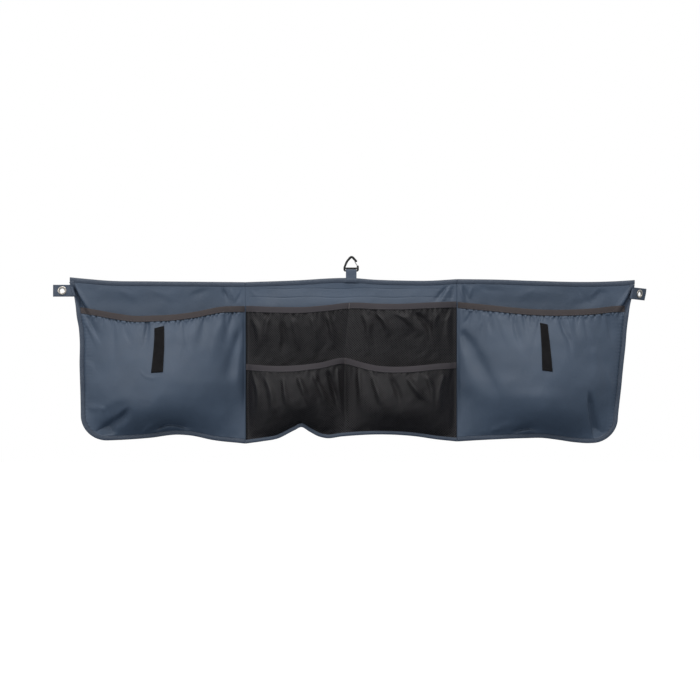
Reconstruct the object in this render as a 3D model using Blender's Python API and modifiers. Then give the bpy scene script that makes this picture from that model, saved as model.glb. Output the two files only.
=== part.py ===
"""Hanging fabric organizer: a wide cloth panel in three sections, with a gathered pocket on each wing,
two depths of mesh pockets on the centre, a grommet tab at each top corner and a clip on a strap.

Metres, +Z up. +X runs along the panel to its right-hand end, and the pockets face -Y. The origin is on
the back face of the clip strap, at the middle of the top edge.
"""

import math

import bmesh
import bpy
import numpy as np
from mathutils import Matrix, Vector

LEFT, RIGHT = -1, 1
SIDE_NAMES = {LEFT: "left", RIGHT: "right"}

# Thicknesses of the sewn stock, and the gap between pieces that touch.
FABRIC = 0.0005
MESH = 0.0005
TAPE = 0.0006
WEBBING = 0.0015
HOOK_TAPE = 0.0012
GAP = 0.00035

# The panel: its sections, its height and its lower corners.
CENTRE_WIDTH = 0.508
WING_WIDTH = 0.424
DROP = 0.385
CORNER_RADIUS = 0.060

# Seams and edges. A seam's cloth stops short of the fold line, and a pocket's stops a little further off.
PANEL_TO_FOLD = 0.0004
POCKET_TO_FOLD = 0.0012
TAPE_TO_FOLD = 0.0022
SEAM_BAND = 0.0032
EDGE_TAPE_WIDTH = 0.010
EDGE_BAND = 0.0115
TAPE_EASE = 0.00025
TAPE_SHOULDER = 0.0005
TAPE_REACH = 0.0016
TAPE_CLEAR = 0.00009

# Pockets: how far they stand forward, and the tape on their mouths.
POCKET_BELLY = 0.085
POCKET_MOUTH_DEPTH = 0.052
POCKET_FOLD = 0.003
POCKET_FOLDS = 4.5
TALL_MESH_DEPTH = 0.030
SHORT_MESH_DEPTH = 0.060
MESH_SEAM_LEFT = 0.0024
MESH_SEAM_LEAN = 0.0126
MESH_SEAM_END = 0.200
TALL_SEAM_LIFT = 0.0013
SHORT_SEAM_LIFT = 0.0026
LOBE_POWER = 0.85
ELASTIC_WIDTH = 0.013
MOUTH_BAND = 0.0155

# The pull of the load draws the bottom forward as it lifts it.
PULL_FORWARD = 0.65
PULL_START = 0.003
PULL_FROM = 0.200

# Hook strips on the wings' pockets.
HOOK_STRIP_WIDTH = 0.024
HOOK_STRIP_LENGTH = 0.110
HOOK_STRIP_DROP = {LEFT: 0.023, RIGHT: 0.031}
HOOK_STRIP_FROM_FOLD = {LEFT: 0.203, RIGHT: 0.207}
HOOK_STRIP_STAND_OFF = 0.0014

# Hanging tabs and their grommets.
TAB_LENGTH = 0.044
TAB_HEIGHT = 0.0285
TAB_THICKNESS = 0.0014
TAB_DROP = {LEFT: 0.016, RIGHT: 0.014}
TAB_TURN = {LEFT: 0.0, RIGHT: 40.0}
TAB_SLOPE = {LEFT: 0.0, RIGHT: 10.0}
TAB_TO_AXIS = 0.0001
AXIS_TO_TAPE = 0.0008
GROMMET_FROM_AXIS = 0.0222
GROMMET_HOLE_RADIUS = 0.0055
GROMMET_RADIUS = 0.0105
GROMMET_WALL = 0.0006
GROMMET_CROWN = 0.0008
MOUTH_ROUND = 0.0011
RIM_ROUND = 0.0014
ROLL_WIDTH = 0.0012
ROLL_HEIGHT = 0.0006
WASHER_THICKNESS = 0.0005
WASHER_ROUND = 0.0003
GROMMET_GAP = 0.0003
ROUND_STEPS = 18

# The strap at the middle of the top edge, and the band sewn behind the centre section.
STRAP_WIDTH = 0.0255
STRAP_LEG = 0.018
STRAP_GAP = 0.0003
STRAP_RISE = 0.019
STRAP_PINCH = 0.0057
BAND_TO_FOLD = {LEFT: 0.004, RIGHT: 0.045}
BAND_TOP = 0.0197
BAND_HEIGHT = 0.0263
BAND_THICKNESS = 0.0012

# The triangular clip. Its places are measured from the middle of its base bar.
ROD_RADIUS = 0.0020
CLIP_TO_STRAP = 0.00145
CLIP_APEX = (0.0010, 0.0352)
CLIP_SHOULDER = 0.0085
CLIP_BEND = 0.0050
CLIP_SHOULDER_BEND = 0.0090
CLIP_FOOT_BEND = 0.0026
CLIP_NOSE = (0.0124, 0.0226)
CROSSBAR_RADIUS = 0.0016
LUG_RADIUS = 0.0026
LUG_HEIGHT = 0.0104
LUG_FOOT = 0.0017
LUG_INSET = 0.0004
CROSSBAR_SHIFT = 0.0003
GATE_RADIUS = 0.0008
GATE_BEND = 0.0011
GATE_HOLE_CLEARANCE = 0.0003
GATE_GAP = 0.0003

# Facets of the cloth. A mouth's tape starts at a fractional column, so that it clears the seams.
WING_COLUMNS = 14
WING_ROWS = 9
HALF_COLUMNS = 10
TALL_ROWS = 4
SHORT_ROWS = 5
TAB_FACET = 0.7
HEM_FACET = 0.6
WING_TAPE_START = 1.16
MESH_TAPE_START = 1.2
SEAM_LIFT_FROM = 0.2
CORNER_SPREAD = math.radians(6)
CORNER_ROUNDS = 12
WELD = 0.00001

# Heights of the top edge in metres. The share runs from the fold to the side on a wing, and from one
# fold to the other, -1 to 1, on the centre.
TOP_LEFT = [(0, -0.004), (0.26, -0.003), (0.54, -0.002), (0.77, -0.0005), (0.90, 0.004), (1, 0.008)]
TOP_RIGHT = [(0, 0.0033), (0.24, 0.002), (0.41, -0.0005), (0.81, -0.003), (0.93, -0.001), (1, 0.001)]
TOP_CENTRE = [(-1, -0.004), (-0.54, 0), (-0.09, 0.006), (0, 0.006), (0.22, 0.002), (0.46, 0),
              (0.74, -0.0005), (1, 0.0033)]

# Lift of the bottom edge where the load pulls it up.
LIFT_LEFT = [(0, -0.0026), (0.18, 0.0056), (0.31, 0.0173), (0.38, 0.0192), (0.54, 0.0113), (0.77, 0.005),
             (1, 0.005)]
LIFT_RIGHT = [(0, 0.0025), (0.21, 0.0075), (0.39, 0.0106), (0.48, 0.0111), (0.57, 0.0065), (0.66, 0.0008),
              (0.75, -0.0016), (0.8, 0), (1, 0)]
LIFT_CENTRE = [(-1, -0.0026), (-0.84, 0.0032), (-0.69, 0.0106), (-0.54, 0.0298), (-0.465, 0.0382),
               (-0.39, 0.0272), (-0.315, 0.0166), (-0.24, 0.0113), (-0.09, 0.0152), (0.27, 0.0202),
               (0.59, 0.0161), (0.82, 0.0075), (1, 0.0025)]

# How far each side is drawn in, by share of the drop.
SIDE_LEFT = [(0, 0.003), (0.1, 0.0156), (0.145, 0.0185), (0.22, 0.0216), (0.29, 0.0264), (0.37, 0.0288),
             (0.52, 0.0283), (0.67, 0.030), (0.82, 0.0312), (1, 0.032)]
SIDE_RIGHT = [(0, -0.002), (0.1, 0.0065), (0.145, 0.0108), (0.22, 0.015), (0.29, 0.0185), (0.39, 0.0216),
              (0.52, 0.027), (0.67, 0.0326), (0.82, 0.039), (1, 0.045)]

# Height of each pocket's mouth, as a drop from the origin.
MOUTH_LEFT = [(0, 0.061), (0.13, 0.063), (0.27, 0.075), (0.39, 0.082), (0.5, 0.0845), (0.62, 0.085),
              (0.73, 0.0785), (0.86, 0.0685), (1, 0.0595)]
MOUTH_RIGHT = [(0, 0.051), (0.15, 0.058), (0.275, 0.064), (0.4, 0.069), (0.53, 0.071), (0.65, 0.070),
               (0.78, 0.0665), (0.88, 0.0615), (1, 0.060)]
MOUTH_TALL = [(-1, 0.0602), (-0.71, 0.0636), (-0.42, 0.0636), (-0.22, 0.059), (-0.01, 0.0528),
              (0.23, 0.0554), (0.44, 0.0562), (0.74, 0.0528), (1, 0.0499)]
MOUTH_SHORT = [(-1, 0.1997), (-0.71, 0.2042), (-0.49, 0.2023), (-0.28, 0.1958), (-0.06, 0.185),
               (0.08, 0.1942), (0.23, 0.203), (0.37, 0.2059), (0.59, 0.2042), (0.81, 0.1987), (1, 0.196)]

# Depth of each pocket as a share of its greatest, from its bottom (0) to its mouth (1).
POCKET_PROFILE = [(0, 0), (0.08, 0.35), (0.25, 0.85), (0.42, 1), (0.75, 0.85),
                  (1, POCKET_MOUTH_DEPTH / POCKET_BELLY)]
TALL_PROFILE = [(0, 0), (0.1, 0.27), (0.45, 0.37), (0.7, 0.8), (0.85, 1), (1, 0.9)]
SHORT_PROFILE = [(0, 0), (0.12, 0.37), (0.35, 0.87), (0.6, 1), (1, 0.83)]

FOLD_X = CENTRE_WIDTH / 2
PLY = FABRIC + GAP
HEM_HALF = FABRIC / 2 + GAP + TAPE / 2
PANEL_Y = -(WEBBING + STRAP_GAP + TAPE / 2 + HEM_HALF)
CLIP_HALF_WIDTH = STRAP_WIDTH / 2 + CLIP_TO_STRAP + ROD_RADIUS
TAPE_START = (TAPE_TO_FOLD - PANEL_TO_FOLD) / (SEAM_BAND - PANEL_TO_FOLD)


def collection(name, hidden=False):
    """A new collection in the scene."""
    made = bpy.data.collections.new(name)
    made.hide_render = hidden
    bpy.context.scene.collection.children.link(made)
    return made


def finish(name, red, green, blue, roughness, metallic=0.0):
    """A material from a colour in 0 to 255, turned to linear light."""
    made = bpy.data.materials.new(name)
    made.use_nodes = True
    shader = made.node_tree.nodes["Principled BSDF"]
    linear = [((value / 255 + 0.055) / 1.055) ** 2.4 for value in (red, green, blue)]
    shader.inputs["Base Color"].default_value = (*linear, 1)
    shader.inputs["Roughness"].default_value = roughness
    shader.inputs["Metallic"].default_value = metallic
    return made


def curve_through(points, share):
    """The height at each share of a smooth curve through (share, height) points."""
    shares, heights = np.array(points, float).T
    slopes = np.gradient(heights, shares)
    share = np.clip(share, shares[0], shares[-1])
    start = np.clip(np.searchsorted(shares, share) - 1, 0, len(shares) - 2)
    span = shares[start + 1] - shares[start]
    t = (share - shares[start]) / span
    from_start = (2 * t**3 - 3 * t**2 + 1) * heights[start] + (t**3 - 2 * t**2 + t) * span * slopes[start]
    from_end = (3 * t**2 - 2 * t**3) * heights[start + 1] + (t**3 - t**2) * span * slopes[start + 1]
    return from_start + from_end


def by_section(x, left, centre, right):
    """Reads the curve of the section that each x lies in: left wing, centre or right wing."""
    wing_share = (np.abs(x) - FOLD_X) / WING_WIDTH
    on_wing = np.where(x < 0, curve_through(left, wing_share), curve_through(right, wing_share))
    return np.where(np.abs(x) > FOLD_X, on_wing, curve_through(centre, x / FOLD_X))


def top_edge(x):
    return by_section(x, TOP_LEFT, TOP_CENTRE, TOP_RIGHT)


def lift(x):
    return by_section(x, LIFT_LEFT, LIFT_CENTRE, LIFT_RIGHT)


def bottom_edge(x):
    return -DROP + lift(x)


def side_edge(side, z):
    """The x of a wing's outer edge at height z."""
    drawn_in = curve_through(SIDE_LEFT if side == LEFT else SIDE_RIGHT, -z / DROP)
    return side * (FOLD_X + WING_WIDTH - drawn_in)


def pull(x, z):
    """How far forward the load draws the cloth, most at the bottom edge and none above PULL_FROM."""
    t = np.clip((-z - PULL_FROM) / (DROP - PULL_FROM), 0, 1)
    return PULL_FORWARD * np.maximum(lift(x) - PULL_START, 0) * t * t * (3 - 2 * t)


def lower_corner(side):
    """Centre of a wing's rounded lower corner, which touches the side edge and the bottom edge."""
    x, z = side * (FOLD_X + WING_WIDTH - CORNER_RADIUS), -DROP + CORNER_RADIUS
    for _ in range(CORNER_ROUNDS):
        x = float(side_edge(side, z)) - side * CORNER_RADIUS
        z = float(bottom_edge(x)) + CORNER_RADIUS
    return x, z


def side_line(side, top, share, inset, corner):
    """Points down a wing's side from height top, then round the corner by the angle corner."""
    centre_x, centre_z = lower_corner(side)
    straight = top - centre_z
    length = share * (straight + CORNER_RADIUS * corner)
    angle = np.maximum(length - straight, 0) / CORNER_RADIUS
    z = top - np.minimum(length, straight)
    radius = CORNER_RADIUS - inset
    x = np.where(angle > 0, centre_x + side * radius * np.cos(angle), side_edge(side, z) - side * inset)
    return np.stack([x, np.where(angle > 0, centre_z - radius * np.sin(angle), z)], -1)


def bottom_line(side, share, inset, corner):
    """Points along a wing's bottom from the fold, then round the corner by the angle corner."""
    centre_x, centre_z = lower_corner(side)
    start = FOLD_X + SEAM_BAND
    straight = abs(centre_x) - start
    length = share * (straight + CORNER_RADIUS * corner)
    angle = np.maximum(length - straight, 0) / CORNER_RADIUS
    x = side * (start + np.minimum(length, straight))
    radius = CORNER_RADIUS - inset
    z = np.where(angle > 0, centre_z - radius * np.cos(angle), bottom_edge(x) + inset)
    return np.stack([np.where(angle > 0, centre_x + side * radius * np.sin(angle), x), z], -1)


def patch(top, bottom, inner, outer, across, down):
    """A Coons patch between four edges, at the shares across its columns and down its rows."""
    u = across[None, :, None]
    v = down[:, None, None]
    rows = (1 - v) * top[None] + v * bottom[None]
    columns = (1 - u) * inner[:, None] + u * outer[:, None]
    corners = (1 - u) * (1 - v) * top[0] + u * (1 - v) * top[-1] + (1 - u) * v * bottom[0]
    return rows + columns - corners - u * v * bottom[-1]


def wing_layout(side):
    """The x and z of a wing's grid: [row, column, 2], columns from the fold to the side.

    Row 0 is the top edge, row 1 the foot of the hem, row 3 the pocket's mouth and the last row the bottom
    edge. The column before the last, and the row before the last, run EDGE_BAND inside the edge.
    """
    share = np.linspace(0, 1, WING_COLUMNS)
    mouth_curve = MOUTH_LEFT if side == LEFT else MOUTH_RIGHT
    fold = side * (FOLD_X + SEAM_BAND)
    mouth_z = -curve_through(mouth_curve, share)
    side_top = float(mouth_z[-1])

    def row_at(down_to_mouth, band):
        """A row above the mouth, a share of the way down to it and then a set distance down."""
        corner_top = float(top_edge(side_edge(side, 0.0)))
        side_z = corner_top + (side_top - corner_top) * down_to_mouth - band
        x = fold + (side_edge(side, side_z) - side * EDGE_BAND - fold) * share
        z = (1 - down_to_mouth) * top_edge(x) + down_to_mouth * mouth_z - band
        outer = [side_edge(side, side_z), float(top_edge(x[-1])) * (1 - down_to_mouth)
                 + down_to_mouth * side_top - band]
        return np.vstack([np.stack([x, z], -1), outer])

    quarter = math.pi / 4
    mouth_x = fold + (side_edge(side, side_top) - side * EDGE_BAND - fold) * share
    height = DROP + side_top
    steps = np.concatenate([[0], np.linspace(MOUTH_BAND / height, 1, WING_ROWS)])
    inner_z = mouth_z[0] + (bottom_edge(fold) + EDGE_BAND - mouth_z[0]) * steps
    inner = np.stack([np.full_like(inner_z, fold), inner_z], -1)
    outer = side_line(side, side_top, steps, EDGE_BAND, quarter)
    mouth = np.stack([mouth_x, mouth_z], -1)
    bottom = bottom_line(side, share, EDGE_BAND, quarter)
    lower = patch(mouth, bottom, inner, outer, share, steps)
    edge = side_line(side, side_top, steps, 0.0, quarter - CORNER_SPREAD)
    lower = np.concatenate([lower, edge[:, None]], 1)
    hem = bottom_line(side, share, 0.0, quarter - CORNER_SPREAD)
    tip = side_line(side, side_top, np.ones(1), 0.0, quarter)
    lower = np.concatenate([lower, np.vstack([hem, tip])[None]], 0)
    band_share = EDGE_BAND / (float(top_edge(side_edge(side, 0.0))) - side_top)
    upper = [row_at(0, 0), row_at(0, EDGE_BAND), row_at(band_share + (1 - band_share) * TAB_FACET, 0)]
    return add_fold_column(np.concatenate([np.stack(upper), lower], 0), side)


def add_fold_column(layout, side):
    """Adds the column of the cloth's raw edge, beside the fold line."""
    raw = layout[:, :1].copy()
    raw[..., 0] = side * (FOLD_X + PANEL_TO_FOLD)
    return np.concatenate([raw, layout], 1)


def centre_layout():
    """The x and z of the centre's grid: [row, column, 2], columns from the left fold to the right one.

    Row 0 is the top edge, row 1 the foot of the hem, row 3 the tall mesh's mouth, row 4 + TALL_ROWS the
    short mesh's mouth and the last row the bottom edge. The middle column is the seam of both meshes.
    """
    def tall_mouth(x):
        return -curve_through(MOUTH_TALL, x / FOLD_X)

    def short_mouth(x):
        return -curve_through(MOUTH_SHORT, x / FOLD_X)

    def foot(x):
        return bottom_edge(x) + EDGE_BAND

    def face_rows(above, below, count):
        """A pocket's rows from its mouth to just above the line below: the tape's foot, then even steps."""
        band = MOUTH_BAND / float(above(0.0) - below(0.0))
        shares = [band + (1 - band) * step / count for step in range(1, count)]
        between = [(above, below, share, 0) for share in shares]
        return [(above, above, 0, 0), (above, above, 0, MOUTH_BAND), *between]

    rows = [(top_edge, top_edge, 0, 0), (top_edge, top_edge, 0, EDGE_BAND)]
    rows += [(top_edge, tall_mouth, HEM_FACET, 0)]
    rows += face_rows(tall_mouth, short_mouth, TALL_ROWS) + face_rows(short_mouth, foot, SHORT_ROWS)
    rows += [(foot, foot, 0, 0), (bottom_edge, bottom_edge, 0, 0)]
    half = np.linspace(0, 1, HALF_COLUMNS + 1)
    left, right = -FOLD_X + SEAM_BAND, FOLD_X - SEAM_BAND
    made = []
    for above, below, share, down in rows:
        level = float(above(0.0) * (1 - share) + below(0.0) * share) - down
        seam = mesh_seam(level)
        x = np.concatenate([left + (seam - left) * half, seam + (right - seam) * half[1:]])
        x = np.concatenate([[-FOLD_X + PANEL_TO_FOLD], x, [FOLD_X - PANEL_TO_FOLD]])
        made.append(np.stack([x, above(x) * (1 - share) + below(x) * share - down], -1))
    return np.stack(made)


def mesh_seam(z):
    """The x of the seam that parts each mesh in two, which leans to the left on its way down."""
    t = np.clip(-z / MESH_SEAM_END, 0, 1)
    return -MESH_SEAM_LEFT - MESH_SEAM_LEAN * t * t * (3 - 2 * t)


def lobe(count, halves):
    """Depth across a pocket, 0 at its seams and 1 between them, with the raw edge's column at each end."""
    share = np.linspace(0, 1, count)
    single = np.sin(math.pi * share) ** LOBE_POWER
    single[[0, -1]] = 0
    across = single if halves == 1 else np.concatenate([single, single[1:]])
    return np.concatenate([[0], across, [0]])


def lay(layout, ply, depth=0.0):
    """Puts a layout at its ply in front of the panel's middle surface, standing forward by depth."""
    x, z = layout[..., 0], layout[..., 1]
    return np.stack([x, PANEL_Y - ply * PLY - pull(x, z) - depth, z], -1)


def pocket_points(side, layout):
    """A wing's pocket: the panel's rows from the mouth down, standing forward between its sewn edges."""
    rows = layout[3:].copy()
    rows[:, 0, 0] = side * (FOLD_X + POCKET_TO_FOLD)
    height = np.linspace(1, 0, len(rows) - 1)
    height[1] = 1 - MOUTH_BAND / (DROP - MOUTH_BAND)
    height = np.append(height, 0)
    profile = curve_through(POCKET_PROFILE, height)
    across = lobe(WING_COLUMNS, 1)
    folds = np.cos(2 * math.pi * POCKET_FOLDS * np.linspace(0, 1, len(across)))
    fold_share = np.sin(math.pi * height)[:, None] * across**2
    return lay(rows, 1, POCKET_BELLY * profile[:, None] * across + POCKET_FOLD * fold_share * folds)


def mesh_points(layout, first_row, ply, seam_lift, profile, greatest):
    """A mesh pocket: the centre's rows from its mouth down, in two lobes with a sewn line between."""
    rows = layout[first_row:].copy()
    rows[:, 0, 0] = -FOLD_X + POCKET_TO_FOLD
    rows[:, -1, 0] = FOLD_X - POCKET_TO_FOLD
    middle = rows.shape[1] // 2
    span = rows[0, :, 1] - rows[-2, :, 1]
    height = np.clip((rows[:, :, 1] - rows[-2, :, 1]) / span, 0, 1)
    depth = greatest * curve_through(profile, height) * lobe(HALF_COLUMNS + 1, 2)
    columns = np.arange(rows.shape[1])
    near_seam = np.clip(1 - np.abs(columns - middle) / middle, 0, 1)
    clear = np.clip(height / SEAM_LIFT_FROM, 0, 1)
    return lay(rows, ply, depth + seam_lift * near_seam * clear)


def read_between(points, rows, columns):
    """points[row, column] at fractional rows and columns, on the straight lines between them."""
    rows, columns = np.asarray(rows, float), np.asarray(columns, float)
    row = np.clip(rows.astype(int), 0, points.shape[0] - 2)
    column = np.clip(columns.astype(int), 0, points.shape[1] - 2)
    v = (rows - row)[:, None, None]
    u = (columns - column)[None, :, None]
    upper = points[row][:, column] * (1 - u) + points[row][:, column + 1] * u
    lower = points[row + 1][:, column] * (1 - u) + points[row + 1][:, column + 1] * u
    return upper * (1 - v) + lower * v


def breaks(start, stop):
    """start, every whole number between, and stop."""
    return [start, *range(math.floor(start) + 1, math.ceil(stop)), stop]


def unit(vectors):
    return vectors / np.linalg.norm(vectors, axis=-1, keepdims=True)


def forward(points, distance):
    """points moved towards -Y, so far that each facet next to a point clears the old one by distance."""
    across = points[1:, 1:] - points[:-1, :-1]
    normals = unit(np.cross(across, points[1:, :-1] - points[:-1, 1:]))
    steepness = np.pad(1 / np.abs(normals[..., 1]), 1)
    worst = np.maximum.reduce([steepness[:-1, :-1], steepness[1:, :-1], steepness[:-1, 1:],
                               steepness[1:, 1:]])
    return points - worst[..., None] * np.array([0, distance, 0])


def cloth(name, points, thickness, surface, parent=None):
    """A sheet on a grid of points[row, column], with half its thickness on each side."""
    rows, columns = points.shape[:2]
    mesh = bpy.data.meshes.new(name)
    grid = bmesh.new()
    bmesh.ops.create_grid(grid, x_segments=columns - 1, y_segments=rows - 1, size=0.5)
    for vertex in grid.verts:
        column = round((vertex.co.x + 0.5) * (columns - 1))
        row = round((0.5 - vertex.co.y) * (rows - 1))
        vertex.co = points[row, column]
    grid.to_mesh(mesh)
    grid.free()
    made = place(bpy.data.objects.new(name, mesh), surface, parent)
    wall = made.modifiers.new("thickness", "SOLIDIFY")
    wall.thickness = thickness
    wall.offset = 0
    wall.use_even_offset = True
    return made


def place(made, surface, parent=None):
    """Puts an object in the model's collection, with its material and its parent empty."""
    organizer.objects.link(made)
    made.data.materials.append(surface)
    made.parent = parent
    return made


def in_place(made, parent):
    """Parents a piece whose points are world points, and leaves it where it is."""
    bpy.context.view_layer.update()
    made.parent = parent
    made.matrix_parent_inverse = parent.matrix_world.inverted()
    return made


def edge_tape(name, outer, inner, plies, surface, ease=0.0):
    """Tape folded over a raw edge: outer is the edge, inner the line EDGE_BAND inside it.

    Its two legs clear the panel's back and the foremost of the plies sewn in with it, by GAP and ease.
    """
    inward = unit(inner - outer)
    back, front = HEM_HALF + ease, -HEM_HALF - plies * PLY - ease
    profile = [(EDGE_TAPE_WIDTH, back), (-TAPE_SHOULDER, back), (-TAPE_REACH, (back + front) / 2),
               (-TAPE_SHOULDER, front), (EDGE_TAPE_WIDTH, front)]
    points = [outer + inward * along + np.array([0, offset, 0]) for along, offset in profile]
    return cloth(name, np.stack(points), TAPE, surface)


def mouth_tape(name, points, start, stop, surface):
    """Tape folded over a pocket's mouth, between two columns, following the pocket's first facets."""
    columns = breaks(start, stop)
    band = read_between(points, [0, 1], columns)
    down = unit(band[1] - band[0])
    stand_off = (forward(band, HEM_HALF + TAPE_EASE) - band).min(0)
    profile = [(ELASTIC_WIDTH, -1), (-TAPE_SHOULDER, -1), (-TAPE_REACH, 0), (-TAPE_SHOULDER, 1),
               (ELASTIC_WIDTH, 1)]
    made = [band[0] + down * along + stand_off * offset for along, offset in profile]
    return cloth(name, np.stack(made), TAPE, surface)


def hook_strip(side, points, surface):
    """A strip sewn on a pocket's front, just below the elastic, lying along the pocket's facets."""
    spacing = (WING_WIDTH - SEAM_BAND - EDGE_BAND) / (WING_COLUMNS - 1)
    middle = 1 + (HOOK_STRIP_FROM_FOLD[side] - SEAM_BAND) / spacing
    half = HOOK_STRIP_WIDTH / 2 / spacing
    columns = breaks(middle - half, middle + half)
    line = read_between(points, np.arange(len(points)), [middle])[:, 0]
    fallen = np.concatenate([[0], np.cumsum(np.linalg.norm(np.diff(line, axis=0), axis=1))])
    first, last = np.interp([HOOK_STRIP_DROP[side], HOOK_STRIP_DROP[side] + HOOK_STRIP_LENGTH], fallen,
                            np.arange(len(line)))
    made = forward(read_between(points, breaks(first, last), columns), HOOK_STRIP_STAND_OFF)
    return cloth(f"hook_strip_{SIDE_NAMES[side]}", made, HOOK_TAPE, surface)


def empty(name, location, turn=None, parent=None):
    """An empty on a joint's axis."""
    made = bpy.data.objects.new(name, None)
    made.empty_display_size = 0.02
    organizer.objects.link(made)
    made.parent = parent
    made.matrix_local = Matrix.Translation(location) @ (turn or Matrix.Identity(4))
    return made


def flat_shape(name, outline, hole_centre, hole_radius, thickness):
    """A flat outline with a round hole, in the X-Y plane, as a filled 2D curve."""
    curve = bpy.data.curves.new(name, "CURVE")
    curve.dimensions = "2D"
    curve.fill_mode = "BOTH"
    curve.extrude = thickness / 2
    angles = np.linspace(0, 2 * math.pi, ROUND_STEPS, endpoint=False)
    ring = [(hole_centre[0] + hole_radius * math.cos(a), hole_centre[1] + hole_radius * math.sin(a))
            for a in angles]
    for loop in (outline, ring):
        spline = curve.splines.new("POLY")
        spline.points.add(len(loop) - 1)
        spline.use_cyclic_u = True
        for point, (x, y) in zip(spline.points, loop):
            point.co = (x, y, 0, 1)
    return bpy.data.objects.new(name, curve)


def turned(name, profile, surface, parent):
    """A ring turned about its parent's Z from a closed profile of (radius, height) points."""
    mesh = bpy.data.meshes.new(name)
    count = len(profile)
    mesh.from_pydata([(radius, 0, height) for radius, height in profile],
                     [(i, (i + 1) % count) for i in range(count)], [])
    made = place(bpy.data.objects.new(name, mesh), surface, parent)
    screw = made.modifiers.new("turn", "SCREW")
    screw.steps = screw.render_steps = ROUND_STEPS
    screw.use_smooth_shade = True
    screw.merge_threshold = 0.0001
    return made


def tube(name, path, radius, closed=False):
    """A round rod along a path."""
    curve = bpy.data.curves.new(name, "CURVE")
    curve.dimensions = "3D"
    curve.bevel_depth = radius
    curve.bevel_resolution = 2
    curve.use_fill_caps = True
    spline = curve.splines.new("POLY")
    spline.points.add(len(path) - 1)
    spline.use_cyclic_u = closed
    for point, place_on_path in zip(spline.points, path):
        point.co = (*place_on_path, 1)
    return bpy.data.objects.new(name, curve)


def rounded(corners, radii, closed=False, steps=4):
    """A path through corners, each rounded by an arc of its radius. The ends of an open path stay."""
    corners = [Vector(corner) for corner in corners]
    path = []
    for index, corner in enumerate(corners):
        if not closed and index in (0, len(corners) - 1):
            path.append(corner)
            continue
        before = (corners[index - 1] - corner).normalized()
        after = (corners[(index + 1) % len(corners)] - corner).normalized()
        half = before.angle(after) / 2
        centre = corner + (before + after).normalized() * radii[index] / math.sin(half)
        first = (corner + before * radii[index] / math.tan(half) - centre).normalized()
        last = (corner + after * radii[index] / math.tan(half) - centre).normalized()
        path += [centre + first.slerp(last, step / steps) * radii[index] for step in range(steps + 1)]
    return path


def as_mesh(made, surface=None, parent=None, target=None):
    """Turns a curve object into a mesh object of the same name, with its caps welded."""
    name = made.name
    target = target or organizer
    target.objects.link(made)
    bpy.context.view_layer.update()
    evaluated = made.evaluated_get(bpy.context.evaluated_depsgraph_get())
    mesh = bpy.data.meshes.new_from_object(evaluated)
    weld = bmesh.new()
    weld.from_mesh(mesh)
    bmesh.ops.remove_doubles(weld, verts=weld.verts, dist=WELD)
    weld.to_mesh(mesh)
    weld.free()
    matrix = made.matrix_world.copy()
    bpy.data.objects.remove(made)
    solid = bpy.data.objects.new(name, mesh)
    solid.name = name
    target.objects.link(solid)
    solid.matrix_world = matrix
    if surface:
        mesh.materials.append(surface)
    solid.parent = parent
    return solid


def weld_on(body, tool):
    """Joins a hidden tool object, which takes the body's parent, to the body."""
    tool.hide_render = True
    tool.display_type = "WIRE"
    tool.parent = body.parent
    step = body.modifiers.new(tool.name, "BOOLEAN")
    step.operation = "UNION"
    step.solver = "EXACT"
    step.object = tool


def build_wing(side):
    """One wing: its panel, hem, edge tape, pocket, the pocket's elastic and hook strip, all on its fold."""
    name = SIDE_NAMES[side]
    layout = wing_layout(side)
    panel = lay(layout, 0)
    last = panel.shape[1] - 1
    pieces = [cloth(f"back_panel_{name}", panel, FABRIC, shell_cloth)]
    top, foot = read_between(panel, [0, 1], breaks(TAPE_START, last))
    pieces.append(edge_tape(f"top_binding_{name}", top, foot, 0, blue_tape))
    below_hem = (EDGE_TAPE_WIDTH + GAP) / EDGE_BAND
    side_rows = breaks(below_hem, len(panel) - 1)
    down = read_between(panel, side_rows, [last - 1, last])
    along = read_between(panel, [len(panel) - 2, len(panel) - 1], breaks(TAPE_START, last - 1))[:, ::-1]
    outer = np.concatenate([down[:, 1], along[1]])
    inner = np.concatenate([down[:-1, 0], down[-2:-1, 0], along[0]])
    pieces.append(edge_tape(f"edge_binding_{name}", outer, inner, 1, blue_tape))
    pocket = pocket_points(side, layout)
    pieces.append(cloth(f"pocket_{name}", pocket, FABRIC, shell_cloth))
    end = pocket.shape[1] - 1 - WING_TAPE_START
    pieces.append(mouth_tape(f"pocket_elastic_{name}", pocket, WING_TAPE_START, end, dark_elastic))
    pieces.append(hook_strip(side, pocket, hook_tape))
    axis = empty(f"{name}_fold_axis", (side * FOLD_X, PANEL_Y, 0))
    for piece in pieces:
        in_place(piece, axis)
    build_tab(side, panel, axis)


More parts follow.
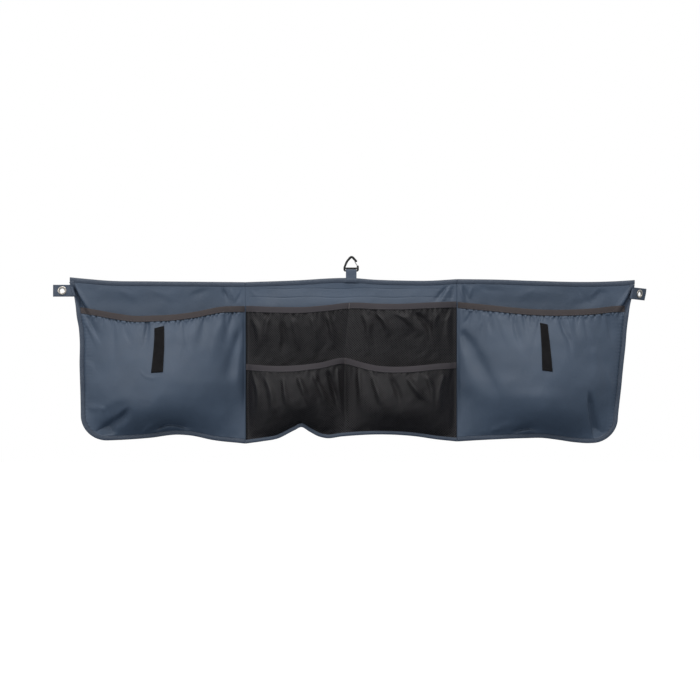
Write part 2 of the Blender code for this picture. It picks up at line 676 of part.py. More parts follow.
def build_tab(side, panel, wing):
    """A grommet tab beside the wing's top corner, on its own fold line along the tape."""
    name = SIDE_NAMES[side]
    edge = panel[1:3, -1]
    outward = unit(edge - panel[1:3, -2])
    spine = edge + outward * (TAPE_REACH + TAPE / 2 + TAPE_CLEAR)
    up = unit(spine[0] - spine[1])
    out = np.array([side * up[2], 0, -side * up[0]])
    top = float(top_edge(side_edge(side, 0.0)))
    middle_z = top - TAB_DROP[side] - TAB_HEIGHT / 2
    middle = spine[0] + up * (middle_z - spine[0][2]) / up[2] + out * AXIS_TO_TAPE
    middle[1] = PANEL_Y - PLY / 2
    flat = Matrix.Identity(4)
    for column, vector in enumerate((out, up, np.cross(out, up))):
        flat.col[column][:3] = vector
    turn = Matrix.Rotation(math.radians(TAB_TURN[side]), 4, Vector(up))
    axis = in_place(empty(f"{name}_tab_axis", middle, turn @ flat), wing)
    slope = math.radians(TAB_SLOPE[side])
    level = np.array([side * math.cos(slope), 0, -math.sin(slope)])
    along = np.array([level @ out, level @ up])
    upright = np.array([-along[1], along[0]]) * TAB_HEIGHT
    inner_top = np.array([TAB_TO_AXIS, TAB_HEIGHT / 2 / along[0]])
    inner_low = np.array([TAB_TO_AXIS, -TAB_HEIGHT / 2 / along[0]])
    centre = along * TAB_LENGTH
    outline = [inner_low, centre - upright / 2, centre + upright / 2, inner_top]
    grommet = along * GROMMET_FROM_AXIS
    barrel = GROMMET_HOLE_RADIUS + GROMMET_WALL
    shape = flat_shape(f"hanging_tab_{name}", outline, grommet, barrel + GROMMET_GAP, TAB_THICKNESS)
    as_mesh(shape, shell_cloth, axis)
    facing = Matrix.Identity(4) if side == RIGHT else Matrix.Rotation(math.pi, 4, "X")
    build_grommet(name, empty(f"{name}_grommet_axis", (*grommet, 0), facing, axis))


def arc(centre, width, height, start, stop):
    """Three points on an ellipse, from one angle to another, in degrees."""
    return [(centre[0] + width * math.cos(angle), centre[1] + height * math.sin(angle))
            for angle in np.radians(np.linspace(start, stop, 3))]


def build_grommet(name, seat):
    """A grommet in the tab: an eyelet from the front, rolled over a washer at the back."""
    hole, barrel = GROMMET_HOLE_RADIUS, GROMMET_HOLE_RADIUS + GROMMET_WALL
    face = TAB_THICKNESS / 2 + GROMMET_GAP
    washer_back = -face - WASHER_THICKNESS
    roll = washer_back - GROMMET_GAP
    roll_middle = (hole + barrel + ROLL_WIDTH) / 2
    eyelet = arc((hole + MOUTH_ROUND, face), MOUTH_ROUND, GROMMET_CROWN, 180, 90)
    eyelet += arc((GROMMET_RADIUS - RIM_ROUND, face), RIM_ROUND, GROMMET_CROWN, 90, 0)
    eyelet += [(barrel, face), (barrel, roll), (barrel + ROLL_WIDTH, roll)]
    eyelet += arc((roll_middle, roll), barrel + ROLL_WIDTH - roll_middle, ROLL_HEIGHT, -45, -135)
    turned(f"eyelet_{name}", eyelet, nickel, seat)
    washer = [(barrel + GROMMET_GAP, -face), (GROMMET_RADIUS, -face)]
    corner = (GROMMET_RADIUS - WASHER_ROUND, washer_back + WASHER_ROUND)
    washer += arc(corner, WASHER_ROUND, WASHER_ROUND, 0, -90)
    turned(f"washer_{name}", washer + [(barrel + GROMMET_GAP, washer_back)], nickel, seat)


def build_centre():
    """The centre: its panel and tapes, both meshes with their tapes, and the band sewn behind it."""
    layout = centre_layout()
    panel = lay(layout, 0)
    cloth("back_panel_centre", panel, FABRIC, shell_cloth)
    columns = breaks(TAPE_START, panel.shape[1] - 1 - TAPE_START)
    top, foot = read_between(panel, [0, 1], columns)
    edge_tape("top_binding_centre", top, foot, 0, blue_tape)
    foot, bottom = read_between(panel, [len(panel) - 2, len(panel) - 1], columns)
    edge_tape("bottom_binding_centre", bottom, foot, 2, blue_tape, TAPE_EASE)
    tall = mesh_points(layout, 3, 1, TALL_SEAM_LIFT, TALL_PROFILE, TALL_MESH_DEPTH)
    short = mesh_points(layout, 4 + TALL_ROWS, 2, SHORT_SEAM_LIFT, SHORT_PROFILE, SHORT_MESH_DEPTH)
    cloth("mesh_tall", tall, MESH, black_mesh)
    cloth("mesh_short", short, MESH, black_mesh)
    end = tall.shape[1] - 1 - MESH_TAPE_START
    mouth_tape("mesh_tall_binding", tall, MESH_TAPE_START, end, dark_elastic)
    mouth_tape("mesh_short_binding", short, MESH_TAPE_START, end, dark_elastic)
    y = PANEL_Y + FABRIC / 2 + GAP + BAND_THICKNESS / 2
    low = -BAND_TOP - BAND_HEIGHT
    ends = [side * (FOLD_X - BAND_TO_FOLD[side]) for side in (LEFT, RIGHT)]
    band = [[(x, y, z) for x in ends] for z in (-BAND_TOP, low)]
    cloth("reinforcing_band", np.array(band), BAND_THICKNESS, blue_tape)


def build_strap():
    """Webbing sewn over the top edge at the middle, looped round the clip's base bar."""
    hem_top = float(top_edge(0.0))
    loop = hem_top + STRAP_RISE
    leg = HEM_HALF + TAPE / 2 + STRAP_GAP + WEBBING / 2
    radius = ROD_RADIUS + STRAP_GAP + WEBBING / 2
    angles = np.linspace(0, math.pi, 9)
    path = [(leg, hem_top - STRAP_LEG), (leg, hem_top + STRAP_PINCH)]
    path += [(radius * math.cos(angle), loop + radius * math.sin(angle)) for angle in angles]
    path += [(-leg, hem_top + STRAP_PINCH), (-leg, hem_top - STRAP_LEG)]
    rows = [[(x, PANEL_Y + y, z) for x in (-STRAP_WIDTH / 2, STRAP_WIDTH / 2)] for y, z in path]
    cloth("clip_strap", np.array(rows), WEBBING, blue_webbing)
    return empty("clip_axis", (0, PANEL_Y, loop))


def build_clip(axis):
    """The clip: a bent rod with a crossbar that keeps the strap in its slot, a lug, and a wire gate."""
    crossbar = ROD_RADIUS + STRAP_GAP + WEBBING + STRAP_GAP * 1.5 + CROSSBAR_RADIUS
    lug_x = CLIP_HALF_WIDTH - LUG_INSET
    corners = [(CLIP_NOSE[0], 0, CLIP_NOSE[1]), (CLIP_APEX[0], 0, CLIP_APEX[1]),
               (-CLIP_HALF_WIDTH, 0, CLIP_SHOULDER), (-CLIP_HALF_WIDTH, 0, 0), (CLIP_HALF_WIDTH, 0, 0),
               (lug_x, 0, LUG_HEIGHT - LUG_FOOT)]
    bends = [0, CLIP_BEND, CLIP_SHOULDER_BEND, CLIP_FOOT_BEND, CLIP_FOOT_BEND, 0]
    path = rounded(corners, bends, steps=5)
    frame = as_mesh(tube("clip_frame", path, ROD_RADIUS), black_metal, axis)
    bar = [(-CLIP_HALF_WIDTH + CROSSBAR_SHIFT, 0, crossbar), (lug_x + CROSSBAR_SHIFT, 0, crossbar)]
    weld_on(frame, as_mesh(tube("crossbar_tool", bar, CROSSBAR_RADIUS), target=tools))
    round_lug = [(LUG_RADIUS * math.cos(a), LUG_RADIUS * math.sin(a))
                 for a in np.linspace(0, 2 * math.pi, ROUND_STEPS, endpoint=False)]
    lug = flat_shape("lug_tool", round_lug, (0, 0), GATE_RADIUS + GATE_HOLE_CLEARANCE, 2 * ROD_RADIUS)
    lug.matrix_world = Matrix.Translation((lug_x, 0, LUG_HEIGHT)) @ Matrix.Rotation(math.pi / 2, 4, "X")
    weld_on(frame, as_mesh(lug, target=tools))
    build_gate(axis, lug_x)


def build_gate(axis, lug_x):
    """The gate: a wire bent to a closed loop, through the lug and behind the nose."""
    pivot = empty("gate_axis", (lug_x, 0, LUG_HEIGHT), parent=axis)
    nose = Vector((CLIP_NOSE[0] - lug_x, 0, CLIP_NOSE[1] - LUG_HEIGHT))
    inward = Vector((-nose.z, 0, nose.x)).normalized()
    half = ROD_RADIUS + GATE_RADIUS + GATE_GAP
    tip = nose + inward * half
    corners = [(0, -half, 0), (0, half, 0), (tip.x, half, tip.z), (tip.x, -half, tip.z)]
    path = rounded(corners, [GATE_BEND] * 4, closed=True, steps=3)
    as_mesh(tube("clip_gate", path, GATE_RADIUS, closed=True), bright_wire, pivot)


for old in list(bpy.data.objects):
    bpy.data.objects.remove(old)

organizer = collection("hanging_organizer")
tools = collection("clip_tools", hidden=True)

shell_cloth = finish("coated polyester", 76, 86, 101, 0.55)
blue_tape = finish("blue edge tape", 62, 72, 88, 0.7)
dark_elastic = finish("dark grey elastic", 68, 64, 65, 0.8)
black_mesh = finish("black polyester mesh", 42, 41, 43, 0.7)
hook_tape = finish("black hook tape", 30, 29, 30, 0.85)
blue_webbing = finish("blue webbing", 76, 84, 99, 0.65)
nickel = finish("nickel", 200, 196, 190, 0.3, 1.0)
black_metal = finish("black painted metal", 26, 26, 27, 0.4, 0.2)
bright_wire = finish("bright steel wire", 190, 190, 190, 0.25, 1.0)

build_centre()
for wing_side in (LEFT, RIGHT):
    build_wing(wing_side)
build_clip(build_strap())
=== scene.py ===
"""Looks of the hanging cloth organizer: its cloth, net, tapes, stitching and metal.

Metres, +Z up. +X runs along the organizer to its right-hand end, and its pockets face -Y.
"""

import math

import bpy
import numpy as np
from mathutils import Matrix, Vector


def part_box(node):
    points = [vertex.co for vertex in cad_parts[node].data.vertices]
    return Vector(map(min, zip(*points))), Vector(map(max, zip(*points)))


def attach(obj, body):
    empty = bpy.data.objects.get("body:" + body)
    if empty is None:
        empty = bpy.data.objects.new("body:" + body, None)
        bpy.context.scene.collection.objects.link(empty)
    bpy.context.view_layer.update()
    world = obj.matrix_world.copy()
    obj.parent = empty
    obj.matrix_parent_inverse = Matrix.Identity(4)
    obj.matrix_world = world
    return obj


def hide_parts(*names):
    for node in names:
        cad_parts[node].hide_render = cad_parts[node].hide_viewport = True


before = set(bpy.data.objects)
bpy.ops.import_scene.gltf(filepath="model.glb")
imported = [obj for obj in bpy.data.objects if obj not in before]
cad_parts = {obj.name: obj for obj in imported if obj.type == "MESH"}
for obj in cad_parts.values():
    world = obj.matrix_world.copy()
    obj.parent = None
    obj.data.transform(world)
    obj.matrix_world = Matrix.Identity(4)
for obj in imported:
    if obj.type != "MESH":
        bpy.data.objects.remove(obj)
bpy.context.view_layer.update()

# The studio: a camera level with the pockets, 4 m in front of them, with 1.68 m of width in view. A large
# soft box hangs above it and a dimmer one stands at its left. The room is white all round, brighter from
# above and a little bluer from below.
CAMERA_PLACE = (-0.0029, -4.0, -0.1649)
VIEW_WIDTH = 1.68
SENSOR_WIDTH = 36.0
FLOOR_HEIGHT = -4.5
FLOOR_SIZE = 60.0
WHITE = (1, 1, 1, 1)
BLUE_FROM_BELOW = (0.92, 1.08, 1.26, 1)

camera = bpy.data.objects.new("camera", bpy.data.cameras.new("camera"))
camera.location = CAMERA_PLACE
camera.rotation_euler = (math.pi / 2, 0, 0)
camera.data.sensor_width = SENSOR_WIDTH
camera.data.lens = SENSOR_WIDTH * -CAMERA_PLACE[1] / VIEW_WIDTH
bpy.context.scene.collection.objects.link(camera)
bpy.context.scene.camera = camera
bpy.context.scene.view_settings.view_transform = "Standard"


def soft_box(name, place, turn, width, height, power):
    """A rectangular area light, turned by Euler angles in degrees from facing straight down."""
    made = bpy.data.objects.new(name, bpy.data.lights.new(name, "AREA"))
    made.data.shape = "RECTANGLE"
    made.data.size, made.data.size_y = width, height
    made.data.energy = power
    made.location = place
    made.rotation_euler = [math.radians(angle) for angle in turn]
    bpy.context.scene.collection.objects.link(made)


soft_box("soft_box_above", (0.0, -2.6, 2.4), (42, 0, 0), 2.6, 1.4, 60)
soft_box("soft_box_left", (-2.8, -2.4, 0.4), (80, 0, -50), 1.0, 1.2, 22)


def add(tree, kind, inputs=None, **settings):
    """Adds a node with its settings, and sets or links each input."""
    made = tree.nodes.new(kind)
    for name, value in settings.items():
        setattr(made, name, value)
    for socket, value in (inputs or {}).items():
        if isinstance(value, bpy.types.NodeSocket):
            tree.links.new(value, made.inputs[socket])
        else:
            made.inputs[socket].default_value = value
    return made


def calculate(tree, operation, *values):
    """The output of a Math node."""
    return add(tree, "ShaderNodeMath", dict(enumerate(values)), operation=operation).outputs[0]


def ranged(tree, value, *limits):
    """The output of a Map Range node, with its limits in order: from low, from high, to low, to high."""
    return add(tree, "ShaderNodeMapRange", dict(enumerate((value, *limits)))).outputs[0]


def blend(tree, share, first, second):
    """The output of a Mix node between two colours."""
    return add(tree, "ShaderNodeMix", {0: share, 6: first, 7: second}, data_type="RGBA").outputs[2]


world = bpy.data.worlds.new("white studio")
world.use_nodes = True
sky = world.node_tree
sky.nodes.clear()
direction = add(sky, "ShaderNodeTexCoord").outputs["Generated"]
upward = add(sky, "ShaderNodeSeparateXYZ", {0: direction}).outputs["Z"]
paths = add(sky, "ShaderNodeLightPath").outputs
for_cloth = ranged(sky, upward, -1.0, 1.0, 0.28, 0.82)
for_gloss = ranged(sky, upward, -0.5, 1.0, 0.04, 1.15)
light = add(sky, "ShaderNodeMix", {0: paths["Is Glossy Ray"], 2: for_cloth, 3: for_gloss}).outputs[0]
tint = blend(sky, ranged(sky, upward, -0.6, 0.3), BLUE_FROM_BELOW, WHITE)
room = add(sky, "ShaderNodeBackground", {"Color": tint, "Strength": light}).outputs[0]
backdrop = add(sky, "ShaderNodeBackground", {"Color": WHITE, "Strength": 1.0}).outputs[0]
mixed = add(sky, "ShaderNodeMixShader", {0: paths["Is Camera Ray"], 1: room, 2: backdrop})
add(sky, "ShaderNodeOutputWorld", {"Surface": mixed.outputs[0]})
bpy.context.scene.world = world

floor_mesh = bpy.data.meshes.new("floor")
floor_mesh.from_pydata([(x * FLOOR_SIZE, y * FLOOR_SIZE, FLOOR_HEIGHT) for x, y in
                        ((-1, -1), (1, -1), (1, 1), (-1, 1))], [], [(0, 1, 2, 3)])
floor = bpy.data.objects.new("floor", floor_mesh)
floor_paint = bpy.data.materials.new("pale floor")
floor_paint.use_nodes = True
floor_inputs = floor_paint.node_tree.nodes["Principled BSDF"].inputs
for socket, value in (("Base Color", (0.9, 0.9, 0.9, 1)), ("Roughness", 0.9), ("Emission Color", WHITE),
                      ("Emission Strength", 0.75)):
    floor_inputs[socket].default_value = value
floor_mesh.materials.append(floor_paint)
floor.visible_diffuse = False
floor.visible_glossy = False
bpy.context.scene.collection.objects.link(floor)


# The back panel: coated plain-weave polyester in three sections, sewn to each other at two upright seams
# where it folds. It is flat at the top, and its bottom edge is lifted and drawn forward by the load. Here
# and further down, the curves of edges and mouths and the folds are given in millimetres.
FOLD_X = 0.254
WING_WIDTH = 0.424
DROP = 0.385
CORNER_RADIUS = 0.060
PANEL_Y = -0.003
PLY = 0.00085
FABRIC = 0.0005
SEAM_ALLOWANCE = 0.0002
EDGE_INSET = 0.0015
PULL_FORWARD = 0.65
PULL_START = 0.003
PULL_FROM = 0.200
CENTRE_LEAN = 0.0055
WING_LEAN = 0.0035
LEFT, RIGHT = -1, 1
SIDES = {LEFT: "left", RIGHT: "right"}
# Curves by section: the top edge's height, the bottom edge's lift and how far the sides are drawn in.
TOP = {
    LEFT: [(0, -4), (0.26, -3), (0.54, -2), (0.77, -0.5), (0.9, 4), (1, 8)],
    RIGHT: [(0, 3.3), (0.24, 2), (0.41, -0.5), (0.81, -3), (0.93, -1), (1, 1)],
    0: [(-1, -4), (-0.54, 0), (-0.09, 6), (0, 6), (0.22, 2), (0.46, 0), (0.74, -0.5), (1, 3.3)],
}
LIFT = {
    LEFT: [(0, -2.6), (0.18, 5.6), (0.31, 17.3), (0.38, 19.2), (0.54, 11.3), (0.77, 5), (1, 5)],
    RIGHT: [(0, 2.5), (0.21, 7.5), (0.39, 10.6), (0.48, 11.1), (0.57, 6.5), (0.66, 0.8), (0.75, -1.6),
            (0.8, 0), (1, 0)],
    0: [(-1, -2.6), (-0.84, 3.2), (-0.69, 10.6), (-0.54, 29.8), (-0.465, 38.2), (-0.39, 27.2), (-0.315, 16.6),
        (-0.24, 11.3), (-0.09, 15.2), (0.27, 20.2), (0.59, 16.1), (0.82, 7.5), (1, 2.5)],
}
DRAWN_IN = {
    LEFT: [(0, 3), (0.1, 15.6), (0.145, 18.5), (0.22, 21.6), (0.29, 26.4), (0.37, 28.8), (0.52, 28.3),
           (0.67, 30), (0.82, 31.2), (1, 32)],
    RIGHT: [(0, -2), (0.1, 6.5), (0.145, 10.8), (0.22, 15), (0.29, 18.5), (0.39, 21.6), (0.52, 27),
            (0.67, 32.6), (0.82, 39), (1, 45)],
}
# Each fold: the x and z of the points of its line, then its height and its widths on the left and right.
PANEL_FOLDS = [
    (-668, 6, -658, -20, -643, -46, -626, -74, -612, -100, 4, 3, 5),
    (-667, -6, -659, -30, -647, -54, -634, -78, -624, -104, -11, 6, 5),
    (677, 2, 667, -26, 652, -50, 636, -72, 622, -98, 3, 6, 4),
    (676, -12, 669, -34, 658, -56, 645, -78, 634, -104, -11, 5, 6),
    (234, -6, 216, -30, 194, -58, -5, 5, 3.6),
    (238, -8, 226, -32, 212, -60, 3, 4, 4),
    (245, -6, 242, -32, 238, -56, -4.4, 4.4, 3),
    (259, -6, 265, -30, 275, -58, 3.2, 3, 3),
    (267, -6, 274, -30, 287, -58, -4, 3.6, 5),
    (290, -8, 286, -28, 278, -54, 2, 4, 4),
    (300, -8, 330, -18, 385, -24, -1.2, 8, 6),
    (-311, -6, -304, -26, -294, -56, -4.6, 5, 3.4),
    (-290, -8, -284, -34, -268, -66, 1.8, 5, 5),
    (-259, -8, -267, -34, -285, -62, -1.8, 3, 6),
    (-335, -14, -365, -26, -402, -50, -1.4, 6, 10),
    (-248, -10, -238, -24, -220, -46, 1.4, 3, 4),
    (-480, -20, -440, -36, -400, -44, 1, 9, 12),
    (-560, -18, -530, -34, -490, -56, 1.2, 10, 10),
    (606, -12, 588, -36, 548, -58, 480, -66, -3, 12, 16),
    (536, -8, 548, -22, 556, -44, -1.4, 3, 4.5),
    (596, -10, 582, -30, 560, -50, 1.4, 5, 6),
    (440, -14, 420, -30, 370, -44, 1, 10, 10),
]
BAND_ROWS = [-0.0176, -0.0386]
ROW_PUCKER = 0.0006
ROW_PUCKER_CHANGE = 0.0003
ROW_PUCKER_PITCH = 0.0075
# Waves are height, length, the share of z that counts, and seed.
PANEL_WAVES = [(0.0010, 0.12, 1, 5), (0.0004, 0.040, 1, 6)]
BAND_WAVES = [(0.00012, 0.009, 0.3, 7)]


def joined(*arrays):
    """Arrays put together along a new last axis."""
    return np.stack(arrays, -1)


def smooth(share):
    """3s^2 - 2s^3: from 0 to 1 with level ends."""
    share = np.clip(share, 0, 1)
    return share * share * (3 - 2 * share)


def through(points, share):
    """The smooth curve through (share, value) points: a cubic between each two, with matched slopes."""
    shares, values = np.array(points, float).T
    slopes = np.gradient(values, shares)
    share = np.clip(share, shares[0], shares[-1])
    first = np.clip(np.searchsorted(shares, share) - 1, 0, len(shares) - 2)
    span = shares[first + 1] - shares[first]
    t = (share - shares[first]) / span
    from_first = (2 * t**3 - 3 * t**2 + 1) * values[first] + (t**3 - 2 * t**2 + t) * span * slopes[first]
    from_next = (3 * t**2 - 2 * t**3) * values[first + 1] + (t**3 - t**2) * span * slopes[first + 1]
    return from_first + from_next


def by_section(x, table):
    """Reads the curve of the section that each x lies in: left wing, centre or right wing."""
    on_wing = (np.abs(x) - FOLD_X) / WING_WIDTH
    wing = np.where(x < 0, through(table[LEFT], on_wing), through(table[RIGHT], on_wing))
    return np.where(np.abs(x) > FOLD_X, wing, through(table[0], x / FOLD_X)) / 1000


def top_edge(x):
    return by_section(x, TOP)


def bottom_edge(x):
    return -DROP + by_section(x, LIFT)


def side_edge(side, z):
    return side * (FOLD_X + WING_WIDTH - through(DRAWN_IN[side], -z / DROP) / 1000)


def lower_corner(side):
    """Centre of a wing's rounded corner, found by stepping to where both edges touch the round."""
    x, z = side * (FOLD_X + WING_WIDTH - CORNER_RADIUS), -DROP + CORNER_RADIUS
    for _ in range(12):
        x = float(side_edge(side, z)) - side * CORNER_RADIUS
        z = float(bottom_edge(x)) + CORNER_RADIUS
    return x, z


CORNERS = {side: lower_corner(side) for side in SIDES}


def run_and_turn(share, straight, corner):
    """How far along a straight, and then how far round a corner, a share of the two together reaches."""
    length = share * (straight + CORNER_RADIUS * corner)
    return np.minimum(length, straight), np.maximum(length - straight, 0) / CORNER_RADIUS


def side_line(side, top, share, inset, corner):
    """The side from height top down, then an arc of the angle corner, at a distance inset inside."""
    centre_x, centre_z = CORNERS[side]
    run, angle = run_and_turn(share, top - centre_z, corner)
    z, radius = top - run, CORNER_RADIUS - inset
    x = np.where(angle > 0, centre_x + side * radius * np.cos(angle), side_edge(side, z) - side * inset)
    return joined(x, np.where(angle > 0, centre_z - radius * np.sin(angle), z))


def bottom_line(side, share, inset, corner, start=FOLD_X):
    """The bottom from the fold outward, then an arc of the angle corner, at a distance inset inside."""
    centre_x, centre_z = CORNERS[side]
    run, angle = run_and_turn(share, abs(centre_x) - start, corner)
    x, radius = side * (start + run), CORNER_RADIUS - inset
    z = np.where(angle > 0, centre_z - radius * np.cos(angle), bottom_edge(x) + inset)
    return joined(np.where(angle > 0, centre_x + side * radius * np.sin(angle), x), z)


def wing_at(side, s, t, upper, inset):
    """The x and z of a wing at share s from fold to side and t from the curve upper to the bottom.

    A Coons patch: the blend of its top and bottom lines by t, plus the blend of its fold and side lines by
    s, less the blend of its four corners. The side and bottom lines meet half way round the corner.
    """
    fold = side * (FOLD_X + SEAM_ALLOWANCE)
    outer_x = side_edge(side, 0.0) - side * inset
    for _ in range(6):
        outer_x = side_edge(side, upper(outer_x)) - side * inset
    half_round = math.pi / 4

    def top(share):
        x = fold + (outer_x - fold) * share
        return joined(x, upper(x))

    outer_top = top(np.ones(1))[0]
    low = bottom_line(side, s, inset, half_round, FOLD_X + SEAM_ALLOWANCE)
    fold_top, fold_low = top(np.zeros(1))[0], bottom_line(side, np.zeros(1), inset, half_round)[0]
    inner = joined(np.full_like(t, fold), fold_top[1] + (fold_low[1] - fold_top[1]) * t)
    outer = side_line(side, outer_top[1], t, inset, half_round)
    tip = side_line(side, outer_top[1], np.ones(1), inset, half_round)[0]
    u, v = s[..., None], t[..., None]
    corners = (1 - u) * (1 - v) * fold_top + u * (1 - v) * outer_top + (1 - u) * v * fold_low + u * v * tip
    return (1 - v) * top(s) + v * low + (1 - u) * inner + u * outer - corners


def waves(x, z, table, seed=0):
    """Smooth random undulation about 0: the sum of the rows of a table.

    Each row gives its height times a quarter of the sum of seven sines of unlike direction and length.
    """
    total = 0
    for height, length, upright, row_seed in table:
        dice = np.random.default_rng(row_seed + seed)
        swell = np.zeros(np.shape(x))
        for _ in range(7):
            turn, phase = dice.uniform(0, math.pi), dice.uniform(0, 2 * math.pi)
            stretch = dice.uniform(0.7, 1.5)
            along = x * math.cos(turn) + z * upright * math.sin(turn)
            swell += np.sin(2 * math.pi * along / (length * stretch) + phase)
        total = total + height * (swell / 4)
    return total


def fold_relief(x, z, folds):
    """How far the folds stand forward: each is exp(-(d / width)^2) of its height about a curved line.

    d is the distance to the line, which runs smoothly through its points. Left and right are those of the
    line as it is seen from in front and going down. Each fold starts crisp, and widens from 0.6 to 1.4 of
    its widths as it fades towards its end.
    """
    total = np.zeros(np.shape(x))
    steps = np.linspace(0, 1, 13)
    for fold in folds:
        *points, height, left_width, right_width = np.array(fold) / 1000
        points = np.reshape(points, (-1, 2))
        at = np.linspace(0, 1, len(points))
        line = joined(*(through(joined(at, column), steps) for column in points.T))
        nearest, share, width = np.full(np.shape(x), 9.0), np.zeros(np.shape(x)), np.ones(np.shape(x))
        for index, (start, end) in enumerate(zip(line[:-1], line[1:])):
            run = end - start
            along = np.clip(((x - start[0]) * run[0] + (z - start[1]) * run[1]) / (run @ run), 0, 1)
            gap = np.hypot(x - start[0] - along * run[0], z - start[1] - along * run[1])
            beside = (run[0] * (z - start[1]) - run[1] * (x - start[0])) / np.hypot(*run)
            lean = smooth(0.5 + beside / (left_width + right_width))
            width = np.where(gap < nearest, left_width + (right_width - left_width) * lean, width)
            share = np.where(gap < nearest, (index + along) / (len(steps) - 1), share)
            nearest = np.minimum(gap, nearest)
        fade = smooth(share / 0.2) * smooth((1 - share) / 0.5)
        total += height * np.exp(-((nearest / (width * (0.6 + 0.8 * share))) ** 2)) * fade
    return total


def panel_y(x, z):
    """The panel's middle surface: flat, with soft waves and folds, drawn forward where it is lifted.

    The centre leans forward by CENTRE_LEAN below its hem, where the net pockets hang on it, and the wings lean
    back by WING_LEAN between the hem and the pockets that pull on them.
    """
    down = np.clip((-z - PULL_FROM) / (DROP - PULL_FROM), 0, 1)
    pull = PULL_FORWARD * np.maximum(by_section(x, LIFT) - PULL_START, 0) * smooth(down)
    outward = np.abs(x) - FOLD_X
    lean = CENTRE_LEAN * smooth((-z - 0.012) / 0.055) * smooth(-outward / 0.05)
    beside = smooth(outward / 0.04) * smooth((0.650 - np.abs(x)) / 0.04)
    lean = lean - WING_LEAN * smooth((-z - 0.006) / 0.050) * beside
    inside = smooth((top_edge(x) - z - 0.008) / 0.02) * smooth((np.abs(outward) - 0.001) / 0.012)
    sewn = np.zeros(np.shape(x))
    for height in BAND_ROWS:
        near = np.exp(-(((z - height - 0.0012 * np.sin(x / 0.021)) / 0.0013) ** 2))
        sewn = sewn - near * (ROW_PUCKER + ROW_PUCKER_CHANGE * np.sin(2 * math.pi * x / ROW_PUCKER_PITCH))
    between = smooth((BAND_ROWS[0] - z) / 0.004) * smooth((z - BAND_ROWS[1]) / 0.004)
    sewn = sewn + between * waves(x, z, BAND_WAVES)
    sewn = sewn * smooth((FOLD_X - 0.008 - np.abs(x)) / 0.004)
    relief = waves(x, z, PANEL_WAVES) + sewn + fold_relief(x, z, PANEL_FOLDS)
    return PANEL_Y - pull - lean - relief * inside


def off_panel(x, z, gap=0.0):
    """Points at x and z that stand a gap in front of the panel's middle surface."""
    return joined(x, panel_y(x, z) - gap, z)


def grid(columns, rows, low=0.0, high=1.0):
    """s and t at the points of a grid, as arrays [row, column]."""
    return np.meshgrid(np.linspace(low, high, columns), np.linspace(0, 1, rows))


def unit(vectors):
    return vectors / np.maximum(np.linalg.norm(vectors, axis=-1, keepdims=True), 1e-12)


def build_mesh(name, points, faces, uv=None):
    """A smooth mesh from arrays: points[n, 3], faces[m, sides] and uv[n, 2] in metres."""
    made = bpy.data.meshes.new(name)
    made.vertices.add(len(points))
    made.vertices.foreach_set("co", np.ascontiguousarray(points, np.float32).ravel())
    made.loops.add(faces.size)
    made.loops.foreach_set("vertex_index", faces.astype(np.int32).ravel())
    made.polygons.add(len(faces))
    made.polygons.foreach_set("loop_start", np.arange(0, faces.size, faces.shape[1], dtype=np.int32))
    made.update(calc_edges=True)
    if uv is not None:
        layer = made.uv_layers.new(name="cloth")
        layer.data.foreach_set("uv", uv[faces.ravel()].astype(np.float32).ravel())
    made.polygons.foreach_set("use_smooth", np.ones(len(faces), bool))
    return made


def grid_faces(rows, columns, tube=False, ring=False):
    """Quads of a grid, row by row.

    In a tube the last column meets the first, and the quads face the other way. In a ring the last row
    meets the first too.
    """
    row, column = np.meshgrid(np.arange(rows - (not ring)), np.arange(columns - (not tube)), indexing="ij")
    row, below, beside = row * columns, (row + 1) % rows * columns, (column + 1) % columns
    quads = [row + column, below + column, below + beside, row + beside]
    return np.stack(quads[:1] + quads[:0:-1] if tube else quads, -1).reshape(-1, 4)


def arc_lengths(points, axis):
    """Length along one axis of a grid of points, from its start."""
    steps = np.linalg.norm(np.diff(points, axis=axis), axis=-1)
    start = np.zeros_like(np.take(steps, [0], axis))
    return np.concatenate([start, np.cumsum(steps, axis=axis)], axis)


def place(name, mesh, finish, body, slot, node=None):
    """Puts a mesh in the scene, on its body, with its material, and hides the CAD node it replaces. The slot
    is not used.
    """
    made = bpy.data.objects.new(name, mesh)
    mesh.materials.append(finish)
    bpy.context.scene.collection.objects.link(made)
    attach(made, body)
    if node:
        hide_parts(node)
    return made


def cloth(name, points, thickness, finish, body, slot, node=None):
    """A sheet from a grid of points, half its thickness on each side, its UV in metres of cloth."""
    uv = joined(arc_lengths(points, 1), arc_lengths(points, 0)).reshape(-1, 2)
    mesh = build_mesh(name, points.reshape(-1, 3), grid_faces(*points.shape[:2]), uv)
    made = place(name, mesh, finish, body, slot, node)
    wall = made.modifiers.new("thickness", "SOLIDIFY")
    wall.thickness = thickness
    wall.offset = 0
    return made


def group(name, inputs, outputs):
    """An empty shader node group, and its input and output nodes. Sockets are (name, kind) pairs."""
    tree = bpy.data.node_groups.new(name, "ShaderNodeTree")
    for socket, kind in inputs:
        tree.interface.new_socket(socket, in_out="INPUT", socket_type="NodeSocket" + kind)
    for socket, kind in outputs:
        tree.interface.new_socket(socket, in_out="OUTPUT", socket_type="NodeSocket" + kind)
    return tree, tree.nodes.new("NodeGroupInput").outputs, tree.nodes.new("NodeGroupOutput").inputs


def wave_of(tree, coordinate, pitch):
    """sin(2 pi coordinate / pitch)."""
    turns = calculate(tree, "DIVIDE", coordinate, pitch)
    return calculate(tree, "SINE", calculate(tree, "MULTIPLY", turns, 2 * math.pi))


